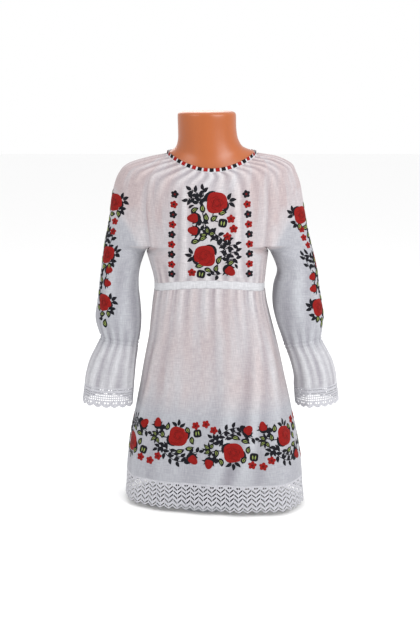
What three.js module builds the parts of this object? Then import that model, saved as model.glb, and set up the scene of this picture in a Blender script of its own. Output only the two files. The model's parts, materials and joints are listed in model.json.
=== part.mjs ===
// A child's white folk dress with a gathered neck, long sleeves and lace edges,
// on a limbless dress form that stands on a pole and a round base.
// Millimetres, +Z up, the front of the dress faces -Y, the base rests on z = 0.
import * as THREE from 'three';

// ---------------------------------------------------------------- sizes
const CLOTH = { wall: 1.6, lace: 1.2, band: 1.8, seamInset: 0.2 };
const RINGS = { waistTop: 3, waistBottom: 4, hemSeam: 15, laceTip: 17 };
const NECK_GATHERS = { count: 28, height: 2.4, fadeRow: 3.6 };
const WAIST_GATHERS = { count: 34, height: 3.2, fade: 75, bodiceHeight: 1.2 };
const CUFF_GATHERS = { count: 15, height: 2.2, fade: 34, flounceHeight: 1.7 };
const HEM_LACE = { points: 50, pointDepth: 7 };
const CUFF_LACE = { depth: 36, scallops: 18, scallopDepth: 4, flare: 1, outward: 4 };
const FORM = { columns: 34, neckTop: 710, clipTop: 551, clipTopX: 155, clipLow: 486, clipLowX: 96 };
const STAND = { poleRadius: 13, poleSides: 24, baseRadius: 72, baseHeight: 11, baseBevel: 2, gap: 0.3 };

/** Rows of numbers with named columns. */
function table(columns, rows) {
  return rows.map((row) => Object.fromEntries(columns.map((column, i) => [column, row[i]])));
}

// Rings round the neck and both arms, from the neckband's top to underarm level.
// seam is the raglan seam's angle off the side, in degrees; pinch narrows the armpits.
const YOKE = table(
  ['halfWidth', 'front', 'back', 'pinch', 'shift', 'sideZ', 'frontZ', 'backZ', 'seam'],
  [
    [76.0, 58.5, 50.5, 0.00, 7.5, 642.5, 617.0, 643.5, 15],
    [79.5, 62.0, 54.0, 0.00, 7.5, 636.5, 610.5, 637.5, 15],
    [111.0, 66.5, 59.0, 0.02, 10.0, 631.0, 603.0, 632.0, 35],
    [143.0, 72.0, 65.0, 0.06, 3.5, 620.0, 591.0, 621.0, 45],
    [155.0, 77.0, 69.0, 0.11, 0.5, 605.0, 578.0, 606.0, 48.5],
    [162.5, 81.0, 72.0, 0.17, 0.0, 586.0, 561.0, 587.0, 50],
    [167.5, 83.0, 74.0, 0.22, -0.5, 562.0, 540.0, 562.0, 51],
    [174.0, 84.0, 74.5, 0.27, 0.0, 522.0, 513.0, 521.0, 53.5],
    [183.0, 83.0, 73.0, 0.30, 0.5, 480.0, 482.0, 480.0, 57],
  ],
);
const NECKLINE_ROW = 1;
const UNDERARM_ROW = YOKE.length - 1;

// Rings round the body, from the underarm to the lace tips. square fills out the
// corners, turn is in degrees round the upright axis.
const BODY = table(
  ['halfWidth', 'front', 'back', 'square', 'shift', 'turn', 'sideZ', 'frontZ', 'backZ'],
  [
    [108.0, 82.0, 72.0, 0.020, 0.0, 0.0, 467, 458, 458],
    [103.5, 79.0, 70.0, 0.035, 1.5, 0.0, 447, 449, 446],
    [99.5, 75.5, 68.0, 0.045, 3.0, 0.0, 428, 438, 429],
    [97.5, 73.5, 67.0, 0.050, 3.5, -0.5, 413, 427, 414],
    [97.5, 73.0, 67.0, 0.050, 3.5, -1.0, 399, 413, 400],
    [101.0, 75.5, 69.0, 0.050, 3.5, -2.0, 377, 388, 377],
    [107.0, 77.5, 71.0, 0.050, 5.5, -3.0, 347, 356, 347],
    [113.0, 79.0, 73.0, 0.050, 8.0, -4.0, 317, 323, 317],
    [119.5, 80.5, 75.0, 0.050, 9.5, -5.0, 288, 292, 288],
    [126.0, 82.0, 77.0, 0.050, 10.5, -5.5, 257, 259, 257],
    [132.0, 83.0, 79.0, 0.050, 11.5, -6.0, 227, 228, 227],
    [138.5, 84.0, 81.0, 0.050, 12.0, -7.0, 197, 197, 197],
    [145.0, 85.0, 82.0, 0.050, 12.0, -7.5, 166, 166, 166],
    [152.0, 86.5, 83.0, 0.050, 12.0, -8.0, 135, 135, 135],
    [158.5, 87.5, 84.0, 0.050, 12.5, -8.3, 98, 98, 98],
    [163.0, 88.0, 85.0, 0.050, 12.5, -8.5, 59, 59, 59],
    [164.5, 88.5, 85.5, 0.050, 12.8, -8.5, 33, 33, 33],
    [167.0, 89.0, 86.0, 0.050, 13.0, -8.5, 8, 8, 8],
  ],
);

// Rings down each sleeve; centre is outward from the middle, slope lifts the outer side.
const SLEEVE_COLUMNS = ['z', 'centre', 'halfWidth', 'halfDepth', 'forward', 'slope'];
const SLEEVES = {
  left: {
    outward: -1,
    rows: table(SLEEVE_COLUMNS, [
      [461, 148.5, 38.5, 38, 0, -6],
      [432, 155.0, 34.0, 34, 2, -2],
      [405, 158.0, 34.5, 32, 4, 0],
      [375, 158.5, 37.5, 33, 5, 1],
      [345, 159.0, 40.0, 34, 6, 3],
      [320, 158.5, 36.0, 31, 7, 5],
      [307, 158.5, 32.5, 28, 7, 6],
      [294, 162.0, 35.0, 30, 7, 6],
      [268, 170.0, 39.0, 34, 7, 5],
      [242, 175.5, 42.0, 36, 7, 4],
      [225, 178.0, 43.0, 37, 7, 3],
    ]),
  },
  right: {
    outward: 1,
    rows: table(SLEEVE_COLUMNS, [
      [461, 150.5, 39.5, 38, 0, -6],
      [432, 159.0, 35.0, 34, 2, -2],
      [405, 158.0, 39.5, 34, 4, 0],
      [375, 160.5, 43.0, 35, 5, 1],
      [345, 165.5, 42.0, 35, 6, 3],
      [318, 169.5, 35.5, 31, 7, 5],
      [303, 171.5, 32.0, 28, 7, 6],
      [290, 177.0, 32.5, 29, 7, 6],
      [268, 186.0, 34.5, 31, 7, 4],
      [243, 192.5, 35.5, 33, 7, 2],
      [225, 194.0, 36.5, 34, 7, 2],
    ]),
  },
};

// The form's own rings above the neckband and below the waist.
const FORM_COLUMNS = ['halfWidth', 'front', 'back', 'shift', 'sideZ', 'frontZ', 'backZ'];
const FORM_NECK = table(FORM_COLUMNS, [
  [44.0, 43.0, 42.0, -1.0, FORM.neckTop, FORM.neckTop, FORM.neckTop],
  [48.5, 47.0, 46.0, -1.0, 708, 708, 708],
  [50.5, 49.0, 48.0, -1.0, 703, 703, 703],
  [50.5, 48.5, 48.0, -0.5, 682, 680, 682],
  [52.0, 49.0, 48.0, 1.0, 664, 656, 666],
  [58.0, 51.0, 48.0, 3.5, 650, 634, 654],
]);
const FORM_HIPS = table(FORM_COLUMNS, [
  [91.0, 66.0, 60.0, 3.5, 399, 405, 399],
  [93.0, 67.0, 62.0, 3.5, 370, 374, 370],
  [99.0, 70.0, 65.0, 4.5, 320, 321, 320],
  [106.0, 72.0, 68.0, 6.0, 260, 260, 260],
  [107.0, 72.0, 69.0, 7.0, 215, 215, 215],
  [104.0, 69.0, 66.0, 7.0, 192, 192, 192],
  [97.0, 62.0, 59.0, 7.0, 185, 185, 185],
]);

// ---------------------------------------------------------------- shape maths
const DEGREE = Math.PI / 180;
const lerp = THREE.MathUtils.lerp;
const clamp = THREE.MathUtils.clamp;
const smooth = THREE.MathUtils.smoothstep;

/** One row of a table at a fractional place, on a smooth curve through its rows. */
function rowAt(rows, place) {
  const last = rows.length - 1;
  const index = clamp(Math.floor(place), 0, last - 1);
  const part = clamp(place, 0, last) - index;
  const [a, b, c, d] = [index - 1, index, index + 1, index + 2].map((i) => rows[clamp(i, 0, last)]);
  const row = {};
  for (const key of Object.keys(b)) {
    const slopeB = (c[key] - a[key]) / 2;
    const slopeC = (d[key] - b[key]) / 2;
    const rise = c[key] - b[key];
    const bend = part * (1 - part);
    row[key] = b[key] + rise * part
      + bend * ((slopeB - rise) * (1 - part) - (slopeC - rise) * part);
  }
  return row;
}

/** A point of a ring; angle 0 is +X, -90 is the front, in degrees. */
function ringPoint(ring, angle) {
  const a = angle * DEGREE;
  const square = ring.square ?? 0;
  const across = (Math.cos(a) - square * Math.cos(3 * a)) / (1 - square);
  const along = (Math.sin(a) + square * Math.sin(3 * a)) / (1 - square);
  const isFront = Math.sin(a) < 0;
  const depth = isFront ? ring.front : ring.back;
  const pinch = 1 - (ring.pinch ?? 0) * Math.sin(2 * a) ** 2;
  const x = ring.halfWidth * across;
  const y = depth * along * pinch;
  const turn = (ring.turn ?? 0) * DEGREE;
  const share = Math.sin(a) ** 2;
  return new THREE.Vector3(
    ring.shift + x * Math.cos(turn) - y * Math.sin(turn),
    x * Math.sin(turn) + y * Math.cos(turn),
    lerp(ring.sideZ, isFront ? ring.frontZ : ring.backZ, share),
  );
}

const yokePoint = (angle, place) => ringPoint(rowAt(YOKE, place), angle);
const bodyPoint = (angle, place) => ringPoint(rowAt(BODY, place), angle);

/** A point of a sleeve ring; turn 0 is the outer side, +-180 the underarm. */
function sleevePoint(sleeve, turn, place) {
  const ring = rowAt(sleeve.rows, place);
  const out = Math.cos(turn * DEGREE);
  return new THREE.Vector3(
    sleeve.outward * (ring.centre + ring.halfWidth * out),
    ring.halfDepth * Math.sin(turn * DEGREE) - ring.forward,
    ring.z + ring.slope * out,
  );
}

/** Uneven gathers: a wave from 0 to 1 whose pitch and height drift round the ring. */
function gatherWave(angle, count, offset) {
  const a = angle * DEGREE;
  const drift = 0.9 * Math.sin(2 * a + offset) + 0.6 * Math.sin(5 * a + 2.3 * offset);
  const height = 0.8 + 0.2 * Math.sin(3 * a + 1.7 * offset);
  return height * (0.5 + 0.5 * Math.sin(count * a + drift));
}

// ---------------------------------------------------------------- cloth panels
// A panel is base(u, v) for its smooth shape and relief(u, v) for what stands out of it,
// with u running anticlockwise seen from above and v running down.

/** The bodice front or back: the yoke's middle part, then half the body to the waist. */
function bodicePanel(side) {
  const middle = side === 'front' ? -90 : 90;
  const base = (u, v) => {
    const seam = rowAt(YOKE, Math.min(v, UNDERARM_ROW)).seam;
    const yokeAngle = middle + (2 * u - 1) * (90 - seam);
    const bodyAngle = middle + (2 * u - 1) * 90;
    if (v <= UNDERARM_ROW) return yokePoint(yokeAngle, v);
    const below = v - UNDERARM_ROW;
    if (below < 1) return yokePoint(yokeAngle, UNDERARM_ROW).lerp(bodyPoint(bodyAngle, 0), below);
    return bodyPoint(bodyAngle, below - 1);
  };
  const relief = (u, v) => {
    const seam = rowAt(YOKE, Math.min(v, UNDERARM_ROW)).seam;
    const yokeAngle = middle + (2 * u - 1) * (90 - seam);
    const waist = smooth(v - UNDERARM_ROW - 1, 0.5, RINGS.waistTop);
    return neckRelief(yokeAngle, v)
      + waist * WAIST_GATHERS.bodiceHeight * gatherWave(middle + (2 * u - 1) * 90, WAIST_GATHERS.count, 0.4);
  };
  return { base, relief };
}

/** Gathers under the neckband, and where a raglan seam draws the cloth in. */
function neckRelief(angle, v) {
  const fade = 1 - smooth(v, NECKLINE_ROW + 0.4, NECKLINE_ROW + NECK_GATHERS.fadeRow);
  return NECK_GATHERS.height * fade * gatherWave(angle, NECK_GATHERS.count, 1.1);
}

/** One sleeve: a cap between the raglan seams that closes into a tube below the arm. */
function sleevePanel(sleeve) {
  const side = sleeve.outward > 0 ? 0 : 180;
  const base = (u, v) => {
    const seam = rowAt(YOKE, Math.min(v, UNDERARM_ROW)).seam;
    const capAngle = side + (2 * u - 1) * seam;
    const turn = sleeve.outward * (2 * u - 1) * 180;
    if (v <= UNDERARM_ROW) return yokePoint(capAngle, v);
    const below = v - UNDERARM_ROW;
    if (below < 1) {
      return yokePoint(capAngle, UNDERARM_ROW).lerp(sleevePoint(sleeve, turn, 0), below);
    }
    return sleevePoint(sleeve, turn, below - 1);
  };
  const relief = (u, v) => {
    const seam = rowAt(YOKE, Math.min(v, UNDERARM_ROW)).seam;
    const neck = neckRelief(side + (2 * u - 1) * seam, v);
    const below = v - UNDERARM_ROW - 1;
    if (below <= 0) return neck;
    return neck + sleeveRelief(sleeve, (2 * u - 1) * 180, below);
  };
  return { base, relief };
}

/** Soft slanting folds down a sleeve, gathers at its elastic and waves in its flounce. */
function sleeveRelief(sleeve, turn, place) {
  const elasticRow = 6;
  const z = rowAt(sleeve.rows, place).z;
  const elasticZ = sleeve.rows[elasticRow].z;
  const near = Math.exp(-(((z - elasticZ) / CUFF_GATHERS.fade) ** 2));
  const flounce = smooth(elasticZ - z, 5, 50) * CUFF_GATHERS.flounceHeight;
  const grow = smooth(place, 0, 1.5);
  const seamFade = smooth(180 - Math.abs(turn), 0, 25);
  const fold = 1.3 * (1 + Math.sin(3 * turn * DEGREE + z / 34 + sleeve.outward)) * (1 - near);
  const gathers = (CUFF_GATHERS.height * near + flounce)
    * gatherWave(turn, CUFF_GATHERS.count, 0.7 * sleeve.outward);
  return grow * (fold * seamFade + gathers);
}

/** Half of the skirt, from the waistband to the lace. */
function skirtPanel(side) {
  const middle = side === 'front' ? -90 : 90;
  const angle = (u) => middle + (2 * u - 1) * 90;
  return {
    base: (u, v) => bodyPoint(angle(u), v),
    relief: (u, v) => skirtRelief(angle(u), v),
  };
}

/** Gathers under the waistband that fade into a few long folds and a lightly waved hem. */
function skirtRelief(angle, place) {
  const drop = BODY[RINGS.waistBottom].sideZ - rowAt(BODY, place).sideZ;
  const fade = Math.exp(-((drop / WAIST_GATHERS.fade) ** 1.5));
  const gathers = WAIST_GATHERS.height * fade * gatherWave(angle, WAIST_GATHERS.count, 0.4);
  const long = smooth(drop, 20, 120) * 2.4 * (gatherWave(angle + drop / 22, 13, 2.1) - 0.5);
  return gathers + long;
}

const vector = (x, y, z) => new THREE.Vector3(x, y, z);

/** The outward direction of a panel's smooth shape. */
function outward(base, u, v, lastV) {
  const step = 0.004;
  const vStep = 0.05;
  const alongU = base(Math.min(u + step, 1), v).sub(base(Math.max(u - step, 0), v));
  const alongV = base(u, Math.min(v + vStep, lastV)).sub(base(u, Math.max(v - vStep, 0)));
  return alongV.cross(alongU).normalize();
}

/** Moves a point towards another by a fixed distance. */
function moveTowards(point, target, distance) {
  const way = target.clone().sub(point);
  return point.clone().addScaledVector(way.normalize(), distance);
}

/** A list of equal steps from one value to another, both included. */
function steps(from, to, count) {
  return Array.from({ length: count + 1 }, (_, i) => lerp(from, to, i / count));
}

/** A closed wall from a panel: outer and inner points, joined round the rim. */
function clothWall(panel, uValues, vValues, thickness, options = {}) {
  const loop = options.loop ?? false;
  const lowerEdge = options.lowerEdge ?? (() => 0);
  const inset = CLOTH.seamInset;
  const columns = uValues.length;
  const rows = vValues.length;
  const lastV = vValues[rows - 1];
  const outer = vValues.map((v, row) => uValues.map((u) => {
    const reach = row === rows - 1 ? v - lowerEdge(u) : v;
    const normal = outward(panel.base, u, reach, lastV);
    const point = panel.base(u, reach).addScaledVector(normal, panel.relief(u, reach));
    return { point, normal };
  }));
  const points = outer.map((line) => line.map((entry) => entry.point.clone()));
  outer.forEach((line, row) => line.forEach((entry, column) => {
    let place = points[row][column];
    if (!loop && column === 0) place = moveTowards(place, outer[row][1].point, inset);
    if (!loop && column === columns - 1) place = moveTowards(place, outer[row][columns - 2].point, inset);
    if (row === 0) place = moveTowards(place, outer[1][column].point, inset);
    if (row === rows - 1) place = moveTowards(place, outer[rows - 2][column].point, inset);
    points[row][column] = place;
  }));
  const positions = [];
  const addAll = (depth) => points.forEach((line, row) => line.forEach((point, column) => {
    const place = point.clone().addScaledVector(outer[row][column].normal, -depth);
    positions.push(place.x, place.y, place.z);
  }));
  addAll(0);
  addAll(thickness);
  const size = rows * columns;
  const at = (row, column, layer) => layer * size + row * columns + (column % columns);
  const faces = [];
  const quad = (a, b, c, d) => faces.push(a, b, c, a, c, d);
  const spans = loop ? columns : columns - 1;
  for (let row = 0; row < rows - 1; row += 1) {
    for (let column = 0; column < spans; column += 1) {
      const next = column + 1;
      quad(at(row, column, 0), at(row + 1, column, 0), at(row + 1, next, 0), at(row, next, 0));
      quad(at(row, column, 1), at(row, next, 1), at(row + 1, next, 1), at(row + 1, column, 1));
    }
  }
  for (let column = 0; column < spans; column += 1) {
    const next = column + 1;
    const low = rows - 1;
    quad(at(0, column, 0), at(0, next, 0), at(0, next, 1), at(0, column, 1));
    quad(at(low, column, 0), at(low, column, 1), at(low, next, 1), at(low, next, 0));
  }
  for (let row = 0; !loop && row < rows - 1; row += 1) {
    const end = columns - 1;
    quad(at(row, 0, 0), at(row, 0, 1), at(row + 1, 0, 1), at(row + 1, 0, 0));
    quad(at(row, end, 0), at(row + 1, end, 0), at(row + 1, end, 1), at(row, end, 1));
  }
  return meshGeometry(positions, faces);
}

function meshGeometry(positions, faces) {
  const geometry = new THREE.BufferGeometry();
  geometry.setAttribute('position', new THREE.Float32BufferAttribute(positions, 3));
  geometry.setIndex(faces);
  geometry.computeVertexNormals();
  return geometry;
}

// ---------------------------------------------------------------- bands and lace

/** A band that runs right round between two places of a ring table. */
function ringBand(pointAt, top, bottom, count, thickness) {
  const panel = { base: (u, v) => pointAt(-180 + 360 * u, v), relief: () => 0.5 };
  const uValues = steps(0, 1, count).slice(0, -1);
  return clothWall(loopPanel(panel), uValues, [top, bottom], thickness, { loop: true });
}

/** Lets a panel's directions be worked out across the place where its loop closes. */
function loopPanel(panel) {
  const wrap = (u) => u - Math.floor(u);
  return { base: (u, v) => panel.base(u === 1 ? 1 : wrap(u), v), relief: panel.relief };
}

/** Half of the hem lace, with a pointed lower edge. */
function hemLace(side) {
  const panel = skirtPanel(side);
  const points = HEM_LACE.points / 2;
  const depth = HEM_LACE.pointDepth / (BODY[RINGS.hemSeam + 1].sideZ - BODY[RINGS.laceTip].sideZ);
  const lowerEdge = (u) => (Math.round(u * points * 2) % 2 === 0 ? depth : 0);
  const vValues = [RINGS.hemSeam, RINGS.hemSeam + 1, RINGS.laceTip];
  return clothWall(panel, steps(0, 1, points * 2), vValues, CLOTH.lace, { lowerEdge });
}

/** The lace below a sleeve's flounce, with a scalloped lower edge. */
function cuffLace(sleeve) {
  const lastRow = sleeve.rows.length - 1;
  const end = rowAt(sleeve.rows, lastRow);
  const turnAt = (u) => sleeve.outward * (2 * u - 1) * 180;
  const base = (u, v) => {
    const turn = turnAt(u) * DEGREE;
    const out = Math.cos(turn);
    const grow = CUFF_LACE.flare * v;
    return vector(
      sleeve.outward * (end.centre + CUFF_LACE.outward * v + (end.halfWidth + grow) * out),
      (end.halfDepth + grow) * Math.sin(turn) - end.forward,
      end.z + end.slope * out - CUFF_LACE.depth * v,
    );
  };
  const relief = (u) => sleeveRelief(sleeve, (2 * u - 1) * 180, lastRow);
  const stepsPerScallop = 2;
  const count = CUFF_LACE.scallops * stepsPerScallop;
  const share = CUFF_LACE.scallopDepth / CUFF_LACE.depth;
  const lowerEdge = (u) => (Math.round(u * count) % stepsPerScallop === 0 ? share : 0);
  return clothWall({ base, relief }, steps(0, 1, count), [0, 0.5, 1], CLOTH.lace, { lowerEdge });
}

// ---------------------------------------------------------------- form and stand

/** How far the form lies inside the cloth's smooth shape at each yoke row. */
const FORM_INSET = [2.4, 2.4, 2.5, 2.6, 2.8, 3.4, 4.5, 6, 8];
const FORM_BODY_INSET = [12, 9, 7, 7];

/** The arm stubs end on a slanting plane: the furthest x that the form reaches at a height. */
function stubReach(z) {
  return lerp(FORM.clipLowX, FORM.clipTopX, (z - FORM.clipLow) / (FORM.clipTop - FORM.clipLow));
}

function formRings() {
  const rings = FORM_NECK.map((ring) => (angle) => ringPoint(ring, angle));
  FORM_INSET.forEach((inset, row) => rings.push((angle) => {
    const base = (u, v) => yokePoint(-180 + 360 * (u - Math.floor(u)), v);
    const u = (angle + 180) / 360;
    const normal = outward(base, clamp(u, 0.005, 0.995), row, UNDERARM_ROW);
    const point = yokePoint(angle, row).addScaledVector(normal, -inset);
    const reach = stubReach(point.z);
    point.x = clamp(point.x, -reach, reach);
    return point;
  }));
  for (let row = 0; row <= RINGS.waistTop; row += 1) {
    rings.push((angle) => {
      const ring = { ...BODY[row] };
      ring.halfWidth -= FORM_BODY_INSET[row];
      ring.front -= FORM_BODY_INSET[row];
      ring.back -= FORM_BODY_INSET[row];
      return ringPoint(ring, angle);
    });
  }
  FORM_HIPS.forEach((ring) => rings.push((angle) => ringPoint(ring, angle)));
  return rings;
}

/** A closed skin through level rings, with a flat cap at each end. */
function closedSkin(rings, columns) {
  const positions = [];
  const faces = [];
  const angles = steps(-180, 180, columns).slice(0, -1);
  for (const ring of rings) {
    for (const angle of angles) {
      const point = ring(angle);
      positions.push(point.x, point.y, point.z);
    }
  }
  const at = (row, column) => row * columns + (column % columns);
  for (let row = 0; row < rings.length - 1; row += 1) {
    for (let column = 0; column < columns; column += 1) {
      faces.push(at(row, column), at(row + 1, column), at(row + 1, column + 1));
      faces.push(at(row, column), at(row + 1, column + 1), at(row, column + 1));
    }
  }
  const addCap = (row, flip) => {
    const middle = vector(0, 0, 0);
    for (const angle of angles) middle.add(rings[row](angle));
    middle.divideScalar(columns);
    const hub = positions.length / 3;
    positions.push(middle.x, middle.y, middle.z);
    for (let column = 0; column < columns; column += 1) {
      const pair = [at(row, column), at(row, column + 1)];
      faces.push(hub, ...(flip ? pair.reverse() : pair));
    }
  };
  addCap(0, false);
  addCap(rings.length - 1, true);
  return meshGeometry(positions, faces);
}

/** A round solid turned about the upright axis from (radius, height) pairs. */
function turned(profile, sides) {
  const points = profile.map(([radius, height]) => new THREE.Vector2(radius, height));
  return new THREE.LatheGeometry(points, sides).rotateX(Math.PI / 2);
}

function baseProfile() {
  const { baseRadius: radius, baseHeight: height, baseBevel: bevel } = STAND;
  return [[0, 0], [radius, 0], [radius, height - bevel], [radius - bevel, height], [0, height]];
}

function poleProfile() {
  const low = STAND.baseHeight + STAND.gap;
  const high = FORM_HIPS[FORM_HIPS.length - 1].sideZ - STAND.gap;
  return [[0, low], [STAND.poleRadius, low], [STAND.poleRadius, high], [0, high]];
}

// ---------------------------------------------------------------- assembly
const COTTON = new THREE.MeshStandardMaterial({ color: '#f3eeee', roughness: 0.9, metalness: 0 });
const LACE = new THREE.MeshStandardMaterial({ color: '#e9e6e6', roughness: 0.95, metalness: 0 });
const PLASTIC = new THREE.MeshStandardMaterial({ color: '#c87340', roughness: 0.35, metalness: 0 });
const STEEL = new THREE.MeshStandardMaterial({ color: '#8d9094', roughness: 0.4, metalness: 0.9 });

const dress = new THREE.Group();

function add(name, geometry, material) {
  const mesh = new THREE.Mesh(geometry, material);
  mesh.name = name;
  dress.add(mesh);
}

const yokeRows = [1, 1.5, 2, 3, 4, 5, 6, 7, 8, 8.5, 9];
const bodiceRows = [...yokeRows, 10.5, 12];
add('bodice_front', clothWall(bodicePanel('front'), steps(0, 1, 38), bodiceRows, CLOTH.wall), COTTON);
add('bodice_back', clothWall(bodicePanel('back'), steps(0, 1, 32), bodiceRows, CLOTH.wall), COTTON);

const sleeveRows = [...yokeRows, 11, 13, 15, 16.5, 18, 19];
for (const [side, sleeve] of Object.entries(SLEEVES)) {
  add(`sleeve_${side}`, clothWall(sleevePanel(sleeve), steps(0, 1, 33), sleeveRows, CLOTH.wall), COTTON);
  add(`cuff_lace_${side}`, cuffLace(sleeve), LACE);
}

add('neckband', ringBand(yokePoint, 0, NECKLINE_ROW, 48, CLOTH.band), COTTON);
add('waistband', ringBand(bodyPoint, RINGS.waistTop, RINGS.waistBottom, 48, CLOTH.band), COTTON);

const skirtRows = [4, 4.6, 5.3, 6, 7, 9, 11, 13, 15];
for (const side of ['front', 'back']) {
  add(`skirt_${side}`, clothWall(skirtPanel(side), steps(0, 1, 51), skirtRows, CLOTH.wall), COTTON);
  add(`hem_lace_${side}`, hemLace(side), LACE);
}

add('dress_form', closedSkin(formRings(), FORM.columns), PLASTIC);
add('stand_pole', turned(poleProfile(), STAND.poleSides), STEEL);
add('stand_base', turned(baseProfile(), 36), STEEL);

export default dress;
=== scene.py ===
"""A child's embroidered folk dress on a limbless dress form, dressed for rendering.

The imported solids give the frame. Each cloth piece is rebuilt here as a thin wall from the
same rings and gathers, at a finer step, and the embroidery, lace and stitches are sewn on.
Shape tables are in millimetres; meshes are made in metres.
"""
from __future__ import annotations

import json
import logging
import math
from dataclasses import dataclass, field
from enum import Enum
from typing import Callable, Sequence

import bpy
import numpy as np
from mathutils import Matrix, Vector
from mathutils.bvhtree import BVHTree

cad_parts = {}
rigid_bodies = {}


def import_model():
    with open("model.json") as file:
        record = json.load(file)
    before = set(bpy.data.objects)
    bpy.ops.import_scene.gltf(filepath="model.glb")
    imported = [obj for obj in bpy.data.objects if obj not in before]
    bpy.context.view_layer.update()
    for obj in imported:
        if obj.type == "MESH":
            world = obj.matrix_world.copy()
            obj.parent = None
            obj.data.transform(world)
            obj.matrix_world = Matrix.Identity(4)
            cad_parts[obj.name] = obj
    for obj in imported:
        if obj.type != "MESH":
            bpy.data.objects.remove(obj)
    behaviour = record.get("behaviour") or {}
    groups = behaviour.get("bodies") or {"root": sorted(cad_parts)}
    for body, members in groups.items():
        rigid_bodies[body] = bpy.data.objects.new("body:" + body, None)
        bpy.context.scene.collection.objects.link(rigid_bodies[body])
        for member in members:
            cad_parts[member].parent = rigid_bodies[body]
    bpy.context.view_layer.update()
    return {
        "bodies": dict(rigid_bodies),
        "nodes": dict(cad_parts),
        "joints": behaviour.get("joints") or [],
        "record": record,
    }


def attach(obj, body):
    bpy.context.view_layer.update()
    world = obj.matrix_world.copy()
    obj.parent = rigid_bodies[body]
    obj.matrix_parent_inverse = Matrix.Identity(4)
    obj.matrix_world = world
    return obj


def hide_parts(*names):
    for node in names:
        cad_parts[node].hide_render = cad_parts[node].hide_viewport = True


LOG = logging.getLogger("dress")
MM = 0.001
TINY = 1e-12
WHITE = (1.0, 1.0, 1.0, 1.0)
Array = np.ndarray
Ring = dict[str, Array]
Line = Sequence[tuple[float, float]]
Piece = bpy.types.Object
Material = bpy.types.Material
Node = bpy.types.Node
Socket = bpy.types.NodeSocket
Tree = bpy.types.NodeTree


# ---------- ring tables
def between(rows: Array, place: Array | float, pull: float = 1.0) -> Array:
    """Reads rows at fractional places, on a smooth curve through them.

    Args:
        rows: The numbers or points of each row.
        place: Row places, 0 for the first row.
        pull: How far the curve leans on the rows around, 1 for a full spline.

    Returns:
        The values at those places.
    """
    last = len(rows) - 1
    place = np.clip(np.asarray(place, dtype=float), 0, last)
    index = np.clip(np.floor(place).astype(int), 0, last - 1)
    part = np.reshape(place - index, place.shape + (1,) * (rows.ndim - 1))
    before, low, high, after = (rows[np.clip(index + step, 0, last)] for step in (-1, 0, 1, 2))
    rise = high - low
    lead = ((high - before) / 2 - rise) * (1 - part)
    trail = ((after - low) / 2 - rise) * part
    return low + rise * part + pull * part * (1 - part) * (lead - trail)


class RingTable:
    """Rows of ring sizes with named columns, read on a smooth curve through the rows."""

    def __init__(self, columns: Sequence[str], rows: Sequence[Sequence[float]]) -> None:
        """Keeps the rows as one array.

        Args:
            columns: The columns' names.
            rows: One row of numbers for each ring, in mm and degrees.
        """
        self.columns = tuple(columns)
        self.rows = np.array(rows, dtype=float)

    @property
    def last(self) -> int:
        """The last row's place."""
        return len(self.rows) - 1

    def at(self, place: Array | float) -> Ring:
        """Reads a ring at fractional places.

        Args:
            place: Row places, 0 for the first row.

        Returns:
            Each column's value at those places.
        """
        values = between(self.rows, place)
        return {name: values[..., i] for i, name in enumerate(self.columns)}


YOKE = RingTable(
    ("half_width", "front", "back", "pinch", "shift", "side_z", "front_z", "back_z", "seam"),
    (
        (76.0, 58.5, 50.5, 0.00, 7.5, 642.5, 617.0, 643.5, 15),
        (79.5, 62.0, 54.0, 0.00, 7.5, 636.5, 610.5, 637.5, 15),
        (111.0, 66.5, 59.0, 0.02, 10.0, 631.0, 603.0, 632.0, 35),
        (143.0, 72.0, 65.0, 0.06, 3.5, 620.0, 591.0, 621.0, 45),
        (155.0, 77.0, 69.0, 0.11, 0.5, 605.0, 578.0, 606.0, 48.5),
        (162.5, 81.0, 72.0, 0.17, 0.0, 586.0, 561.0, 587.0, 50),
        (167.5, 83.0, 74.0, 0.22, -0.5, 562.0, 540.0, 562.0, 51),
        (174.0, 84.0, 74.5, 0.27, 0.0, 522.0, 513.0, 521.0, 53.5),
        (183.0, 83.0, 73.0, 0.30, 0.5, 480.0, 482.0, 480.0, 57),
    ),
)
NECKLINE_ROW = 1
UNDERARM_ROW = YOKE.last

BODY = RingTable(
    ("half_width", "front", "back", "square", "shift", "turn", "side_z", "front_z", "back_z"),
    (
        (108.0, 82.0, 72.0, 0.020, 0.0, 0.0, 467, 458, 458),
        (103.5, 79.0, 70.0, 0.035, 1.5, 0.0, 447, 449, 446),
        (99.5, 75.5, 68.0, 0.045, 3.0, 0.0, 428, 438, 429),
        (97.5, 73.5, 67.0, 0.050, 3.5, -0.5, 413, 427, 414),
        (97.5, 73.0, 67.0, 0.050, 3.5, -1.0, 399, 413, 400),
        (101.0, 75.5, 69.0, 0.050, 3.5, -2.0, 377, 388, 377),
        (107.0, 77.5, 71.0, 0.050, 5.5, -3.0, 347, 356, 347),
        (113.0, 79.0, 73.0, 0.050, 8.0, -4.0, 317, 323, 317),
        (119.5, 80.5, 75.0, 0.050, 9.5, -5.0, 288, 292, 288),
        (126.0, 82.0, 77.0, 0.050, 10.5, -5.5, 257, 259, 257),
        (132.0, 83.0, 79.0, 0.050, 11.5, -6.0, 227, 228, 227),
        (138.5, 84.0, 81.0, 0.050, 12.0, -7.0, 197, 197, 197),
        (145.0, 85.0, 82.0, 0.050, 12.0, -7.5, 166, 166, 166),
        (152.0, 86.5, 83.0, 0.050, 12.0, -8.0, 135, 135, 135),
        (158.5, 87.5, 84.0, 0.050, 12.5, -8.3, 98, 98, 98),
        (163.0, 88.0, 85.0, 0.050, 12.5, -8.5, 59, 59, 59),
        (164.5, 88.5, 85.5, 0.050, 12.8, -8.5, 33, 33, 33),
        (167.0, 89.0, 86.0, 0.050, 13.0, -8.5, 8, 8, 8),
    ),
)
WAIST_TOP = 3
WAIST_BOTTOM = 4
HEM_SEAM = 15
LACE_TIP = 17

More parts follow.
